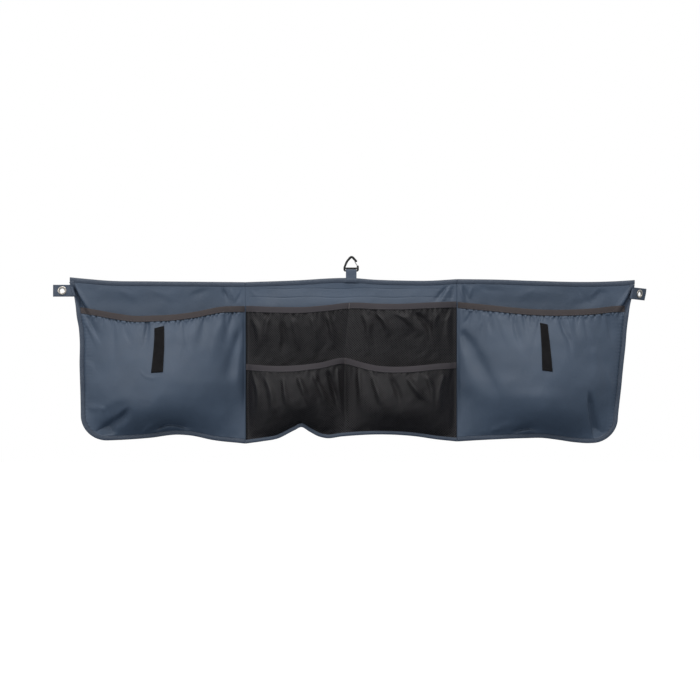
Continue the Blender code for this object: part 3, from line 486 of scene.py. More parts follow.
weave, given, gives = group("plain weave", [("Vector", "Vector"), ("Pitch", "Float")], [("Height", "Float")])
across = add(weave, "ShaderNodeSeparateXYZ", {0: given["Vector"]}).outputs
checker = calculate(weave, "MULTIPLY", wave_of(weave, across["X"], given["Pitch"]),
                    wave_of(weave, across["Y"], given["Pitch"]))
weave.links.new(calculate(weave, "MULTIPLY_ADD", checker, 0.5, 0.5), gives["Height"])

crinkle, given, gives = group("crinkle", [("Vector", "Vector"), ("Scale", "Float")], [("Height", "Float")])
coarse = add(crinkle, "ShaderNodeTexNoise", {"Vector": given["Vector"], "Scale": given["Scale"],
                                              "Detail": 3.0, "Roughness": 0.55, "Distortion": 0.6})
crinkle.links.new(coarse.outputs["Fac"], gives["Height"])

tone, given, gives = group("tone", [("Vector", "Vector"), ("Scale", "Float"), ("Dark", "Color"),
                                    ("Light", "Color")], [("Color", "Color"), ("Mask", "Float")])
patches = add(tone, "ShaderNodeTexNoise", {"Vector": given["Vector"], "Scale": given["Scale"], "Detail": 4.0,
                                           "Roughness": 0.6}).outputs["Fac"]
spread = ranged(tone, patches, 0.35, 0.65)
tone.links.new(blend(tone, spread, given["Dark"], given["Light"]), gives["Color"])
tone.links.new(spread, gives["Mask"])


def linear(red, green, blue):
    """Linear light of a colour given in 0 to 255."""
    return [((value / 255 + 0.055) / 1.055) ** 2.4 for value in (red, green, blue)]


def use_group(tree, made, **inputs):
    """Places a node group, setting its inputs by name."""
    return add(tree, "ShaderNodeGroup", {key.replace("_", " "): value for key, value in inputs.items()},
               node_tree=made)


def surface(name, colour, roughness, spread_of_tone=0.06, tone_scale=9.0, metallic=0.0, specular=0.5):
    """A material with the tone group on its colour, and what its pattern nodes need."""
    made = bpy.data.materials.new(name)
    made.use_nodes = True
    tree = made.node_tree
    shader = tree.nodes["Principled BSDF"]
    coordinates = add(tree, "ShaderNodeTexCoord").outputs
    dark, light = ((*np.multiply(colour, share).tolist(), 1)
                   for share in (1 - spread_of_tone, 1 + spread_of_tone))
    colours = use_group(tree, tone, Vector=coordinates["Object"], Scale=tone_scale, Dark=dark, Light=light)
    tree.links.new(colours.outputs["Color"], shader.inputs["Base Color"])
    rough = ranged(tree, colours.outputs["Mask"], 0, 1, roughness - 0.04, roughness + 0.04)
    tree.links.new(rough, shader.inputs["Roughness"])
    shader.inputs["Metallic"].default_value = metallic
    shader.inputs["Specular IOR Level"].default_value = specular
    return made, tree, shader, coordinates


def bumps(tree, shader, *layers):
    """Chains Bump nodes, each from (height socket, distance in metres), into the shader's normal."""
    normal = None
    for height, distance in layers:
        made = add(tree, "ShaderNodeBump", {"Height": height, "Distance": distance})
        if normal:
            tree.links.new(normal, made.inputs["Normal"])
        normal = made.outputs["Normal"]
    tree.links.new(normal, shader.inputs["Normal"])


def woven(name, colour, roughness, pitch, crinkle_scale, crinkle_height, **more):
    """Woven cloth: a plain weave in the cloth's own UV, and a fine crinkle over it."""
    made, tree, shader, coordinates = surface(name, colour, roughness, **more)
    threads = use_group(tree, weave, Vector=coordinates["UV"], Pitch=pitch)
    creases = use_group(tree, crinkle, Vector=coordinates["Object"], Scale=crinkle_scale)
    bumps(tree, shader, (threads.outputs["Height"], pitch * 0.12), (creases.outputs["Height"], crinkle_height))
    return made


def grained(name, colour, roughness, scale, height, **more):
    """A plain material with a fine grain in relief."""
    made, tree, shader, coordinates = surface(name, colour, roughness, **more)
    grit = use_group(tree, crinkle, Vector=coordinates["Object"], Scale=scale)
    bumps(tree, shader, (grit.outputs["Height"], height))
    return made


shell_cloth = woven("coated polyester", linear(63, 77, 95), 0.58, 0.0007, 16.0, 0.0009, specular=0.60)

for side, hand in SIDES.items():
    s, t = grid(170, 140)
    s = 0.6 * s + 0.4 * smooth(s)
    t = 0.4 * t + 0.6 * t**2.4
    plane = wing_at(side, s, t, top_edge, EDGE_INSET)
    plane[:, 0, 0] = side * FOLD_X
    points = off_panel(plane[..., 0], plane[..., 1])[:, ::side]
    cloth(f"{hand}_panel_cloth", points, FABRIC, shell_cloth, f"{hand}_wing",
                               "shell_cloth", f"back_panel_{hand}")

u, t = grid(170, 150, -1, 1)
t = 0.35 * t + 0.65 * t**2.4
centre_x = u * FOLD_X
centre_z = top_edge(centre_x) * (1 - t) + (bottom_edge(centre_x) + EDGE_INSET) * t
cloth("centre_panel_cloth", off_panel(centre_x, centre_z), FABRIC, shell_cloth, "panel",
                        "shell_cloth", "back_panel_centre")


# Hem and edge bindings: 10 mm strips of the same cloth folded over every raw edge and topstitched near
# their inner edge. The top one is a hem; the others go round each wing's side, corner and bottom.
BINDING_WIDTH = 0.0088
FOOT_WIDTH = 0.0070
BINDING_THICKNESS = 0.0006
BINDING_SWELL = 0.0005
HEM_STAND_OFF = 0.0009
NOSE_REACH = 0.0016
STRAP_WIDTH = 0.0255
WEBBING = 0.0015
STRAP_GAP = 0.0003
THREAD_RADIUS = 0.00026
STITCH_PITCH = 0.0034
STITCH_LENGTH = 0.0026
STITCH_MARGIN = 0.0017
STITCH_SHOULDER = 0.28
STITCH_DIP = 0.6
FRONT_LEG = HEM_STAND_OFF + BINDING_THICKNESS / 2
FORWARD = np.array([0.0, -1.0, 0.0])

binding_cloth = woven("binding cloth", linear(56, 67, 83), 0.55, 0.0007, 60.0, 0.0008, specular=0.6)
thread_finish = surface("slate thread", linear(44, 53, 67), 0.7, 0.15, 700.0)[0]


def plane_normals(line):
    """The unit vectors in the x-z plane square to a line, turned clockwise as seen from the front."""
    run = unit(np.gradient(line, axis=0))
    return joined(run[:, 1], -run[:, 0])


def even(line, count):
    """count points at even steps along a line of points."""
    at = arc_lengths(line, 0)
    steps = np.linspace(0, at[-1], count)
    return joined(*(np.interp(steps, at, column) for column in line.T))


def bind(name, line, inward, plies, body, node, width, raised):
    """Cloth folded over an edge: down the front, round a nose past the edge, and up the back.

    Each leg lies HEM_STAND_OFF from the panel's middle, the front one a ply further for each ply sewn in,
    and raised where it passes over something. It swells by sin(pi w) between its edge and its stitches, w
    being the share of its width.
    """
    w = np.linspace(1, 0, 9)[:, None]
    swell = BINDING_SWELL * np.sin(np.pi * np.clip(w * 1.25, 0, 1))
    angle = np.linspace(0, np.pi, 7)[1:-1, None]
    level = np.zeros((1, len(line)))
    reach = np.concatenate([w * width, -NOSE_REACH * np.sin(angle), w[::-1] * width]) + level
    front, back = -HEM_STAND_OFF - plies * PLY - raised, HEM_STAND_OFF
    nose = (front + back) / 2 + (front - back) / 2 * np.cos(angle)
    offset = np.concatenate([front - swell + level, nose + level, back + 0 * w + level])
    x, z = line[None, :, 0] + inward[None, :, 0] * reach, line[None, :, 1] + inward[None, :, 1] * reach
    return cloth(name, off_panel(x, z, -offset), BINDING_THICKNESS, binding_cloth, body, "blue_tape", node)


def grain(sides=6):
    """A stitch's shape: two tips and two rings, as points (along, across, up) and triangles."""
    angle = np.arange(sides) * 2 * np.pi / sides
    ring = joined(np.zeros(sides), np.cos(angle), np.sin(angle))
    first, second = ring - [STITCH_SHOULDER, 0, 0], ring + [STITCH_SHOULDER, 0, 0]
    points = np.concatenate([[[-0.5, 0, -STITCH_DIP]], first, second, [[0.5, 0, -STITCH_DIP]]])
    a = np.arange(sides)
    b = (a + 1) % sides
    start, end = np.zeros(sides, int), np.full(sides, 2 * sides + 1)
    faces = [joined(start, 1 + b, 1 + a), joined(1 + a, 1 + b, 1 + sides + b),
             joined(1 + a, 1 + sides + b, 1 + sides + a), joined(end, 1 + sides + a, 1 + sides + b)]
    return points, np.concatenate(faces)


def stitches(name, runs, body, slot, pitch=STITCH_PITCH, length=STITCH_LENGTH, radius=THREAD_RADIUS,
             finish=thread_finish):
    """Rows of stitches: a grain at even steps along each run, which is (line[n, 3], normals[n, 3])."""
    shape, faces = grain()
    placed = []
    for line, normals in runs:
        at = arc_lengths(line, 0)
        middle = np.arange(pitch / 2, at[-1], pitch)

        def read(distance, array):
            return joined(*(np.interp(distance, at, column) for column in array.T))

        centre, up = read(middle, line), unit(read(middle, normals))
        along = unit(read(middle + length / 2, line) - read(middle - length / 2, line))
        sideways = unit(np.cross(up, along))
        axes = np.stack([along * length, sideways * radius, np.cross(along, sideways) * radius], 1)
        placed.append(centre[:, None] + np.einsum("pk,nkc->npc", shape, axes))
    points = np.concatenate(placed)
    count, size = points.shape[:2]
    every = (np.arange(count) * size)[:, None, None] + faces[None]
    mesh = build_mesh(name, points.reshape(-1, 3), every.reshape(-1, 3))
    return place(name, mesh, finish, body, slot)


def on_panel(line, stand_off):
    """A line in the x-z plane laid on the panel, and its normals, which face forward."""
    return off_panel(*line.T, stand_off), np.tile(FORWARD, (len(line), 1))


def on_back(line, stand_off):
    points, normals = on_panel(line, -stand_off)
    return points, -normals


sewn_on = {LEFT: [], 0: [], RIGHT: []}


def sewn_edge(section, body, pieces, node, line, inward, plies, width=BINDING_WIDTH, raised=0.0,
              margin=STITCH_MARGIN):
    """A binding, and a row of stitches on each of its legs at a margin from its inner edge."""
    edge = bind(pieces[0], line, inward, plies, body, node, width, raised)
    seam = line + inward * (width - margin)
    rows = [on_panel(seam, FRONT_LEG + plies * PLY + raised), on_back(seam, FRONT_LEG)]
    sewn_on[section] += [edge, stitches(pieces[1], rows, body, "blue_tape")]


for section, body, low, high in ((LEFT, "left_wing", side_edge(LEFT, 0.006), -FOLD_X),
                                 (0, "panel", -FOLD_X, FOLD_X),
                                 (RIGHT, "right_wing", FOLD_X, side_edge(RIGHT, 0.0))):
    name = SIDES.get(section, "centre")
    x = np.linspace(low + SEAM_ALLOWANCE, high - SEAM_ALLOWANCE, 160)
    line = joined(x, top_edge(x))
    down = np.tile([0.0, -1.0], (len(x), 1))
    raised = (WEBBING + 2 * STRAP_GAP + 0.0006) * smooth((STRAP_WIDTH / 2 + 0.006 - np.abs(x)) / 0.005)
    sewn_edge(section, body, (f"{name}_top_hem", f"{name}_hem_stitches"), f"top_binding_{name}", line, down, 0,
              raised=raised)


def wing_outline(side, top):
    """A wing's edge from height top down its side, round the corner and along the bottom to the fold."""
    down = side_line(side, top, np.linspace(0, 1, 120), 0.0, math.pi / 2)
    along = bottom_line(side, np.linspace(1, 0, 120), 0.0, 0.0, FOLD_X + SEAM_ALLOWANCE)
    return even(np.concatenate([down, along[1:]]), 260)


for side, hand in SIDES.items():
    top = float(top_edge(side_edge(side, 0.0))) - BINDING_WIDTH - 0.0006
    line = wing_outline(side, top)
    sewn_edge(side, f"{hand}_wing", (f"{hand}_edge_binding", f"{hand}_edge_stitches"),
              f"edge_binding_{hand}", line, plane_normals(line) * side, 1)

x = np.linspace(-FOLD_X + SEAM_ALLOWANCE, FOLD_X - SEAM_ALLOWANCE, 220)
line = joined(x, bottom_edge(x))
sewn_edge(0, "panel", ("centre_bottom_binding", "centre_bottom_stitches"), "bottom_binding_centre", line,
          -plane_normals(line), 2, FOOT_WIDTH, margin=0.0015)


# The band behind the centre panel: a flat strip of woven tape that stiffens it below the hem. It is sewn
# through, so its two rows of stitches show on the front.
BAND_THICKNESS = 0.0012
BAND_INSET = 0.0022
BEHIND = FABRIC / 2 + 0.0002

band_low, band_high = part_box("reinforcing_band")
u, t = grid(160, 10)
band_x = band_low.x + (band_high.x - band_low.x) * u
band_z = BAND_ROWS[0] + BAND_INSET + (BAND_ROWS[1] - BAND_ROWS[0] - 2 * BAND_INSET) * t
band_tape = woven("band tape", linear(66, 76, 92), 0.7, 0.0014, 80.0, 0.0008)
band = cloth("stiffening_band", off_panel(band_x, band_z, -BEHIND - BAND_THICKNESS / 2), BAND_THICKNESS,
             band_tape, "panel", "blue_tape", "reinforcing_band")
band_rows = []
for height in BAND_ROWS:
    row = joined(band_x[0], np.full_like(band_x[0], height))
    band_rows += [on_panel(row, FABRIC / 2), on_back(row, BEHIND + BAND_THICKNESS)]
sewn_on[0] += [band, stitches("band_stitches", band_rows, "panel", "blue_tape")]


# The end pockets: one gathered piece of the same cloth on each wing, sewn in under the edge binding and at
# the fold. The load swells it low down, and it hangs in soft folds under its elastic mouth.
POCKET_BELLY = 0.085
POCKET_MOUTH = 0.052
POCKET_INSET = 0.0080
LOBE_POWER = 0.85
LOW_POWER = 0.75
POCKET_PROFILE = [(0, 0), (0.04, 0.17), (0.10, 0.46), (0.19, 0.80), (0.30, 0.98), (0.40, 1.0), (0.75, 0.85),
                  (1, POCKET_MOUTH / POCKET_BELLY)]
MOUTH = {
    LEFT: [(0, 61), (0.13, 63), (0.27, 75), (0.39, 82), (0.5, 84.5), (0.62, 85), (0.73, 78.5), (0.86, 68.5),
           (1, 59.5)],
    RIGHT: [(0, 51), (0.15, 58), (0.275, 64), (0.4, 69), (0.53, 71), (0.65, 70), (0.78, 66.5), (0.88, 61.5),
            (1, 60)],
}
ELASTIC_WIDTH = 0.013
ELASTIC_THICKNESS = 0.0007
TAPE_OFF = 0.0011
TAPE_NOSE = 0.0012
TAPE_RIPPLE = 0.0002
TAPE_RIPPLES = 61
TAPE_PUFF = 0.0003
TAPE_MARGIN = 0.0018
THREAD_LIFT = 0.0004
TAPE_CLEAR = FABRIC / 2 + 0.0005
UNDER_TAPE = 0.15
PRESSED_TO = 0.62
PRESSED_OVER = 0.04
PUCKER = 0.0006
PUCKER_PITCH = 0.0085
POCKET_WAVES = [(0.0012, 0.13, 1, 21), (0.0005, 0.046, 0.6, 31)]
UNDER_ELASTIC_WAVES = [(0.0016, 0.020, 0.25, 61)]
POCKET_GATHERS_SEED = 11
POCKET_FOLDS = {
    LEFT: [
        (-518, -300, -548, -326, -572.5, -340.5, -600, -364, -645, -412, -16, 8, 17),
        (-590, -296, -596, -322, -618, -344, 3, 12, 12),
        (-640, -298, -604, -304, -560, -288, -500, -266, 2.6, 10, 12),
        (-478.6, -362, -445.7, -344, -413.3, -343, -388.6, -355, -370, -364, -14, 4, 11),
        (-500, -364, -482, -350, -456, -336, 4, 4, 5),
        (-260, -100, -282, -169.7, -293, -217.7, -300, -290, -5.2, 12, 12),
        (-300, -80, -322, -150, -330, -250, 3, 12, 16),
        (-262, -150, -268, -210, -272, -290, 3, 8, 10),
        (-345, -82, -352, -130, -376, -210, -2.8, 12, 14),
        (-388, -85, -384, -140, -396, -210, -2, 10, 14),
        (-640, -74, -616, -112, -586, -158, -4, 4, 9),
        (-642, -94, -622, -122, -600, -168, 2.6, 4, 7),
        (-541, -92, -536, -120, -508, -168, -2.6, 5, 8),
        (-482, -96, -478, -122, -484, -160, -2, 4, 6),
        (-500, -210, -486, -226, -466, -231, -440, -227, 0.8, 4, 4.5),
        (-640, -180, -610, -200, -590, -240, -2, 10, 16),
    ],
    RIGHT: [
        (250, -118, 268, -132, 288, -158, 317, -219, 346, -279, 372, -330, -9.2, 22, 15),
        (262, -160, 280, -215, 300, -280, 3, 14, 16),
        (381, -368, 410, -354.5, 434, -351.5, 456, -368, -14.5, 3.6, 11),
        (330, -360, 360, -350, 400, -336, 3, 7, 10),
        (562, -258, 567, -303, 576, -342, 590, -380, 622, -450, -14, 4.5, 14),
        (575, -150, 585, -210, 596, -275, 3, 14, 14),
        (606, -196, 622, -262, 625, -310, 616, -352, 3.4, 12, 12),
        (385.8, -86, 390, -118, 402, -153, 424, -200, -4, 7, 10),
        (350, -80, 362, -120, 386, -180, 2.4, 8, 12),
        (492, -86, 504, -124, 516.5, -150, 520, -205, -4.2, 6, 8),
        (510, -86, 522, -130, 530, -190, 3, 6, 10),
        (553, -84, 556, -110, 566, -150, -2.4, 4, 8),
        (608, -68, 615, -104, 626, -160, -3.4, 5, 9),
        (290, -66, 280, -90, 262, -112, -3.4, 5, 6),
        (318, -72, 310, -100, 290, -126, 2.4, 6, 7),
        (334, -76, 330, -104, 338, -140, -2.6, 4.5, 7),
    ],
}


def pocket_mouth(side):
    """The height of a pocket's mouth above each x of its wing."""
    return lambda x: -through(MOUTH[side], (np.abs(x) - FOLD_X) / WING_WIDTH) / 1000


def lobe(share, low=0.0):
    """sin(pi s)^0.85: how far a pocket stands out between its sewn sides, eased where it leaves them.

    The power grows by low, which flattens the pocket's lower corners.
    """
    edge = np.minimum(share, 1 - share)
    return np.sin(np.pi * np.clip(share, 0.0, 1)) ** (LOBE_POWER + low) * smooth(edge / 0.016)


# A gather's length, depth and width are each drawn from a span. LONG_SHARE of them are long ones. The cloth
# between them puffs out by GATHER_PUFF under the tape, fading over PUFF_FALL.
LONG_GATHER = (0.040, 0.075), (0.0030, 0.0050), (0.0030, 0.0042)
SHORT_GATHER = (0.008, 0.020), (0.0018, 0.0042), (0.0018, 0.0028)
LONG_SHARE = 0.20
GATHER_PITS = (0.0004, 0.0042)
GATHER_LEANS = (-0.25, 0.25)
GATHER_SPACES = (0.006, 0.017)
GATHER_PUFF = 0.0026
PUFF_FALL = 0.014
WIDENING = 1.6
PIT_FALL = 0.006


def gathered(x, down, low, high, seed, strength):
    """Gathers under an elastic: valleys some millimetres apart, and puffs of cloth between them.

    At a distance b below the tape, a valley is exp(-(gap / width)^2) of its depth, times
    exp(-(b / length)^1.5). It widens and leans as it goes down. Each also starts in a pit close to the tape,
    where the cloth is pinched under it.
    """
    dice = np.random.default_rng(seed)
    below = np.maximum(down - ELASTIC_WIDTH, 0)
    start = 0.10 + 0.90 * smooth((down - ELASTIC_WIDTH + 0.0015) / 0.004)
    total = GATHER_PUFF * np.exp(-below / PUFF_FALL) * smooth((down - ELASTIC_WIDTH) / 0.004)
    spot = low + dice.uniform(0.003, 0.010)
    while spot < high - 0.003:
        spans = LONG_GATHER if dice.random() < LONG_SHARE else SHORT_GATHER
        length, depth, width, pit, lean = (dice.uniform(*span) for span in (*spans, GATHER_PITS, GATHER_LEANS))
        gap = np.abs(x - spot - lean * below)
        total = total - depth * np.exp(-((gap / (width * (1 + WIDENING * below / length))) ** 2)
                                       - (below / length) ** 1.5)
        total = total - pit * np.exp(-((gap / (0.8 * width)) ** 2) - (below / PIT_FALL) ** 2)
        spot += dice.uniform(*GATHER_SPACES)
    return strength * total * start


def pocket_at(side, s, t, ruffled=1.0):
    """A pocket's middle surface at share s from fold to side and t from mouth to bottom."""
    plane = wing_at(side, s, t, pocket_mouth(side), POCKET_INSET)
    x, z = plane[..., 0], plane[..., 1]
    depth = POCKET_BELLY * through(POCKET_PROFILE, 1 - t) * lobe(s, LOW_POWER * smooth((t - 0.55) / 0.45))
    down = pocket_mouth(side)(x) - z
    loose = smooth(s / 0.05) * smooth((1 - s) / 0.05) * smooth((1 - t) / 0.05)
    ends = sorted((side * FOLD_X, side * (FOLD_X + WING_WIDTH - 0.03)))
    ruffles = gathered(x, down, *ends, POCKET_GATHERS_SEED + side, ruffled) * loose
    below_tape = smooth((down - ELASTIC_WIDTH) / 0.009)
    relief = waves(x, z, POCKET_WAVES, side) + fold_relief(x, z, POCKET_FOLDS[side])
    relief = relief * loose * below_tape
    puckers = PUCKER * np.sin(2 * np.pi * z / PUCKER_PITCH)
    puckers = puckers * np.exp(-(1 - s) * 0.4 / 0.010) * smooth((1 - s) / 0.006)
    above = (1 - t) * 0.3
    eased_in = waves(x, z, UNDER_ELASTIC_WAVES, side) * np.exp(-above / 0.016) * smooth(above / 0.010)
    standing = ruffles + relief + (puckers + eased_in) * below_tape
    return off_panel(x, z, PLY + depth + standing)


def face_normals(at, s, t, step=0.002):
    """Forward unit normals of a surface at(s, t), from its slopes."""
    across = at(np.clip(s + step, -1, 1), t) - at(np.clip(s - step, -1, 1), t)
    down = at(s, np.clip(t + step, 0, 1)) - at(s, np.clip(t - step, 0, 1))
    made = unit(np.cross(across, down))
    return made * -np.sign(made[..., 1:2])


def before_panel(points, gap):
    """The points, moved forward where they are less than gap in front of the panel's middle surface."""
    kept = points.copy()
    kept[..., 1] = np.minimum(points[..., 1], panel_y(points[..., 0], points[..., 2]) - gap)
    return kept


def pressed(s):
    """The share of its stand-off that tape keeps along a run s: its ends are pressed flat in the seams."""
    end = np.minimum(np.abs(s - s[0]), np.abs(s - s[-1])) / abs(s[-1] - s[0])
    return PRESSED_TO + (1 - PRESSED_TO) * smooth(end / PRESSED_OVER)


def elastic(name, at, s, height, finish, body, node):
    """Binding over a pocket's mouth: down the front, round the top and down inside, along s.

    at(s, t) is the pocket's surface without gathers, and height(s) the length of its fall, so that t is
    the width w over height(s). The legs stand off by TAPE_OFF along the surface's normals, but for the ends.
    """
    w = np.concatenate([np.linspace(1, 0, 9), np.linspace(0, 1, 9)])
    facing = np.repeat([1.0, -1.0], 9)[:, None]
    t = w[:, None] * ELASTIC_WIDTH / height(s)[None, :]
    across = np.tile(s, (len(w), 1))
    points = at(across, t)
    normals = face_normals(at, across, np.maximum(t, 0.004))
    ripple = TAPE_RIPPLE * np.sin(2 * np.pi * s * TAPE_RIPPLES)[None, :] * w[:, None]
    puff = TAPE_PUFF * np.sin(np.pi * np.clip(w * 1.2, 0, 1))[:, None]
    legs = points + normals * (facing * (TAPE_OFF + puff) * pressed(s) + ripple)[..., None]
    top, up = points[9], unit(points[9] - points[10])
    angle = np.linspace(0, np.pi, 7)[1:-1, None, None]
    over = top + normals[9] * (TAPE_OFF * pressed(s))[:, None] * np.cos(angle) + up * TAPE_NOSE * np.sin(angle)
    tape = before_panel(np.concatenate([legs[:9], over, legs[9:]]), TAPE_CLEAR)
    return cloth(name, tape, ELASTIC_THICKNESS, finish, body, "dark_elastic", node)


def tape_run(at, s, height, sign):
    """A line near the lower edge of a mouth's binding, and its normals: 1 is on the front, -1 inside."""
    t = np.full_like(s, ELASTIC_WIDTH - TAPE_MARGIN) / height(s)
    normals = face_normals(at, s, t)
    lift = (TAPE_OFF * pressed(s) + THREAD_LIFT)[:, None]
    return before_panel(at(s, t) + normals * sign * lift, TAPE_CLEAR - 0.0001), normals * sign


def ribbed(name, colour, roughness, pitch, **more):
    """Ribbed tape: ribs across it at a pitch along its UV, and a weave over them."""
    made, tree, shader, coordinates = surface(name, colour, roughness, **more)
    along = add(tree, "ShaderNodeSeparateXYZ", {0: coordinates["UV"]}).outputs["X"]
    ribs = wave_of(tree, along, pitch)
    threads = use_group(tree, weave, Vector=coordinates["UV"], Pitch=pitch / 2)
    bumps(tree, shader, (ribs, pitch * 0.07), (threads.outputs["Height"], pitch * 0.06))
    return made


elastic_finish = ribbed("dark elastic", linear(67, 61, 61), 0.8, 0.0012, specular=0.3)
elastic_thread = surface("grey thread", linear(98, 93, 93), 0.7, 0.10, 700.0)[0]


def sewn_mouth(pieces, at, run, height, finish, body, node):
    """A mouth's binding, and a row of stitches on its front and its inner leg."""
    mouth = elastic(pieces[0], at, run, height, finish, body, node)
    rows = [tape_run(at, run, height, sign) for sign in (1, -1)]
    return [mouth, stitches(pieces[1], rows, body, "dark_elastic", finish=elastic_thread)]


for side, hand in SIDES.items():
    body = f"{hand}_wing"
    s, t = grid(280, 164)
    t = 0.62 * t + 0.38 * t**2
    cloth(f"{hand}_pocket_cloth", pocket_at(side, s, t)[:, ::side], FABRIC,
                                shell_cloth, body, "shell_cloth", f"pocket_{hand}")

    def smooth_pocket(s, t, side=side):
        return pocket_at(side, s, t, UNDER_TAPE)

    def fall(s, side=side):
        """The length of a pocket's fall at share s, measured in its plane."""
        plane = wing_at(side, np.stack([s, s]), np.stack([s * 0, s * 0 + 1]), pocket_mouth(side), POCKET_INSET)
        return plane[0, :, 1] - plane[1, :, 1]

    names = f"{hand}_pocket_elastic", f"{hand}_elastic_stitches"
    sewn_on[f"pocket {side}"] = sewn_mouth(names, smooth_pocket, np.linspace(0.003, 0.999, 240)[::side], fall,
                                           elastic_finish, body, f"pocket_elastic_{hand}")


# Hook strips: 24 mm hook tape sewn upright on each end pocket under its elastic, hanging a little askew on
# the folds. They are black, with a nap of fine hooks, and stitched round their edges.
STRIP_THICKNESS = 0.0013
STRIP_LIFT = 0.0003
STRIP_CORNERS = {
    LEFT: [(-0.465, -0.114), (-0.443, -0.108), (-0.442, -0.217), (-0.470, -0.219)],
    RIGHT: [(0.447, -0.101), (0.464, -0.105), (0.473, -0.216), (0.449, -0.213)],
}

strip_finish, tree, shader, coordinates = surface("hook tape", linear(27, 26, 27), 0.95, 0.2, 60.0,
                                                  specular=0.12)
hooks = add(tree, "ShaderNodeTexVoronoi", {"Vector": coordinates["UV"], "Scale": 900.0})
bumps(tree, shader, (hooks.outputs["Distance"], 0.0006))
strip_thread = surface("black thread", linear(24, 24, 25), 0.7, 0.10, 700.0)[0]


def find_on(at, corners, step=0.001):
    """The s and t at which a surface passes each (x, z), by Newton's steps from the middle."""
    corners = np.array(corners, float)
    s, t = np.full(len(corners), 0.5), np.full(len(corners), 0.3)
    for _ in range(12):
        here = at(s, t)[:, [0, 2]]
        by_s = (at(s + step, t)[:, [0, 2]] - here) / step
        by_t = (at(s, t + step)[:, [0, 2]] - here) / step
        steps = np.linalg.solve(joined(by_s, by_t), (corners - here)[..., None])[..., 0]
        s, t = s + steps[:, 0], t + steps[:, 1]
    return s, t


for side, hand in SIDES.items():

    def laid(s, t, side=side):
        return pocket_at(side, s, t)

    u, v = grid(14, 44)
    weights = joined((1 - u) * (1 - v), u * (1 - v), u * v, (1 - u) * v)
    s, t = (weights @ at_corners for at_corners in find_on(laid, STRIP_CORNERS[side]))
    normals = face_normals(laid, s, t)
    points = laid(s, t) + normals * (FABRIC / 2 + STRIP_LIFT + STRIP_THICKNESS / 2)
    strip = cloth(f"{hand}_hook_tape", points, STRIP_THICKNESS, strip_finish, f"{hand}_wing",
                  "hook_tape", f"hook_strip_{hand}")
    rim, rim_normals = (np.concatenate([each[2, 1:-1], each[2:-2, -2], each[-3, -2:0:-1], each[-3:1:-1, 1]])
                        for each in (points, normals))
    rows = [(rim + rim_normals * STRIP_THICKNESS / 2, rim_normals)]
    sewn = stitches(f"{hand}_hook_stitches", rows, f"{hand}_wing", "hook_tape", finish=strip_thread)
    sewn_on[f"pocket {side}"] += [strip, sewn]


# The mesh pockets: black knitted polyester net with diamond holes, a tall piece over the whole centre and a
# short one in front of it. Both are sewn down along one line at the middle, which parts each in two. A thin
# black sheet lies on the panel behind them as painted shade, standing in for the shade inside the pockets, so
# the holes look dark.
NET_ACROSS = 0.0058
NET_DOWN = 0.0029
NET_OPEN = 0.30
NET_RELIEF = 0.00110
MESH_INSET = 0.0064
SEAM_LEFT = 0.0024
SEAM_LEAN = 0.0126
SEAM_END = 0.200
TALL_DEPTH = 0.030
SHORT_DEPTH = 0.060
TACK_WIDTH = 0.0028
FOLD_ROOM = 0.075
MESH_GATHERS = 1.1
MESH_RELIEF = 1.5
MESH_WAVES = [(0.0016, 0.060, 0.45, 1), (0.0010, 0.024, 1, 2)]
TALL_PROFILE = [(0, 0), (0.1, 0.27), (0.45, 0.37), (0.7, 0.8), (0.85, 1), (1, 0.9)]
SHORT_PROFILE = [(0, 0), (0.12, 0.37), (0.35, 0.87), (0.6, 1), (1, 0.83)]
TALL_MOUTH = [(-1, 60.2), (-0.71, 63.6), (-0.42, 63.6), (-0.22, 59), (-0.01, 52.8), (0.23, 55.4),
              (0.44, 56.2), (0.74, 52.8), (1, 49.9)]
SHORT_MOUTH = [(-1, 199.7), (-0.71, 204.2), (-0.49, 202.3), (-0.28, 195.8), (-0.06, 185), (0.08, 194.2),
               (0.23, 203), (0.37, 205.9), (0.59, 204.2), (0.81, 198.7), (1, 196)]
TALL_FOLDS = [
    (-240, -85, -222, -125, -226, -185, 6, 7, 10),
    (-196, -78, -205, -120, -196, -170, 7, 7, 8),
    (-168, -85, -160, -140, -172, -190, -6, 7, 9),
    (-142, -80, -130, -130, -116, -185, 6.5, 6, 9),
    (-98, -78, -85, -125, -88, -180, 6, 6, 10),
    (-60, -75, -46, -120, -40, -180, 7, 7, 8),
    (24, -70, 40, -110, 34, -170, 6, 7, 9),
    (52, -68, 80, -100, 92, -150, 7, 6, 8),
    (96, -70, 130, -90, 180, -140, 6.5, 7, 10),
    (150, -72, 176, -100, 210, -150, -6, 7, 9),
    (206, -70, 196, -115, 212, -175, 6, 6, 9),
    (240, -68, 228, -110, 238, -170, 5, 6, 8),
]
SHORT_FOLDS = [
    (-236, -222, -222, -270, -226, -330, 7, 6, 8),
    (-206, -225, -190, -270, -184, -340, 7, 7, 8),
    (-162, -225, -156, -270, -142, -320, 8, 6, 8),
    (-128, -222, -110, -265, -86, -320, 8, 6, 8),
    (-92, -214, -70, -265, -46, -330, 9, 7, 7),
    (-58, -208, -44, -255, -26, -325, -7, 6, 6),
    (-34, -200, -30, -250, -18, -330, 5, 5, 6),
    (16, -205, 20, -260, 30, -330, 6, 6, 7),
    (50, -222, 62, -265, 84, -325, 8, 6, 9),
    (92, -225, 112, -270, 116, -325, -6, 8, 7),
    (130, -225, 156, -262, 196, -298, 8.5, 7, 8),
    (176, -220, 192, -262, 196, -330, 7, 6, 8),
    (222, -215, 208, -270, 216, -330, 7, 6, 8),
    (242, -212, 234, -270, 240, -340, -5, 6, 6),
]


def mouth_of(table):
    return lambda x: -through(table, x / FOLD_X) / 1000


def mesh_foot(x):
    return bottom_edge(x) + MESH_INSET


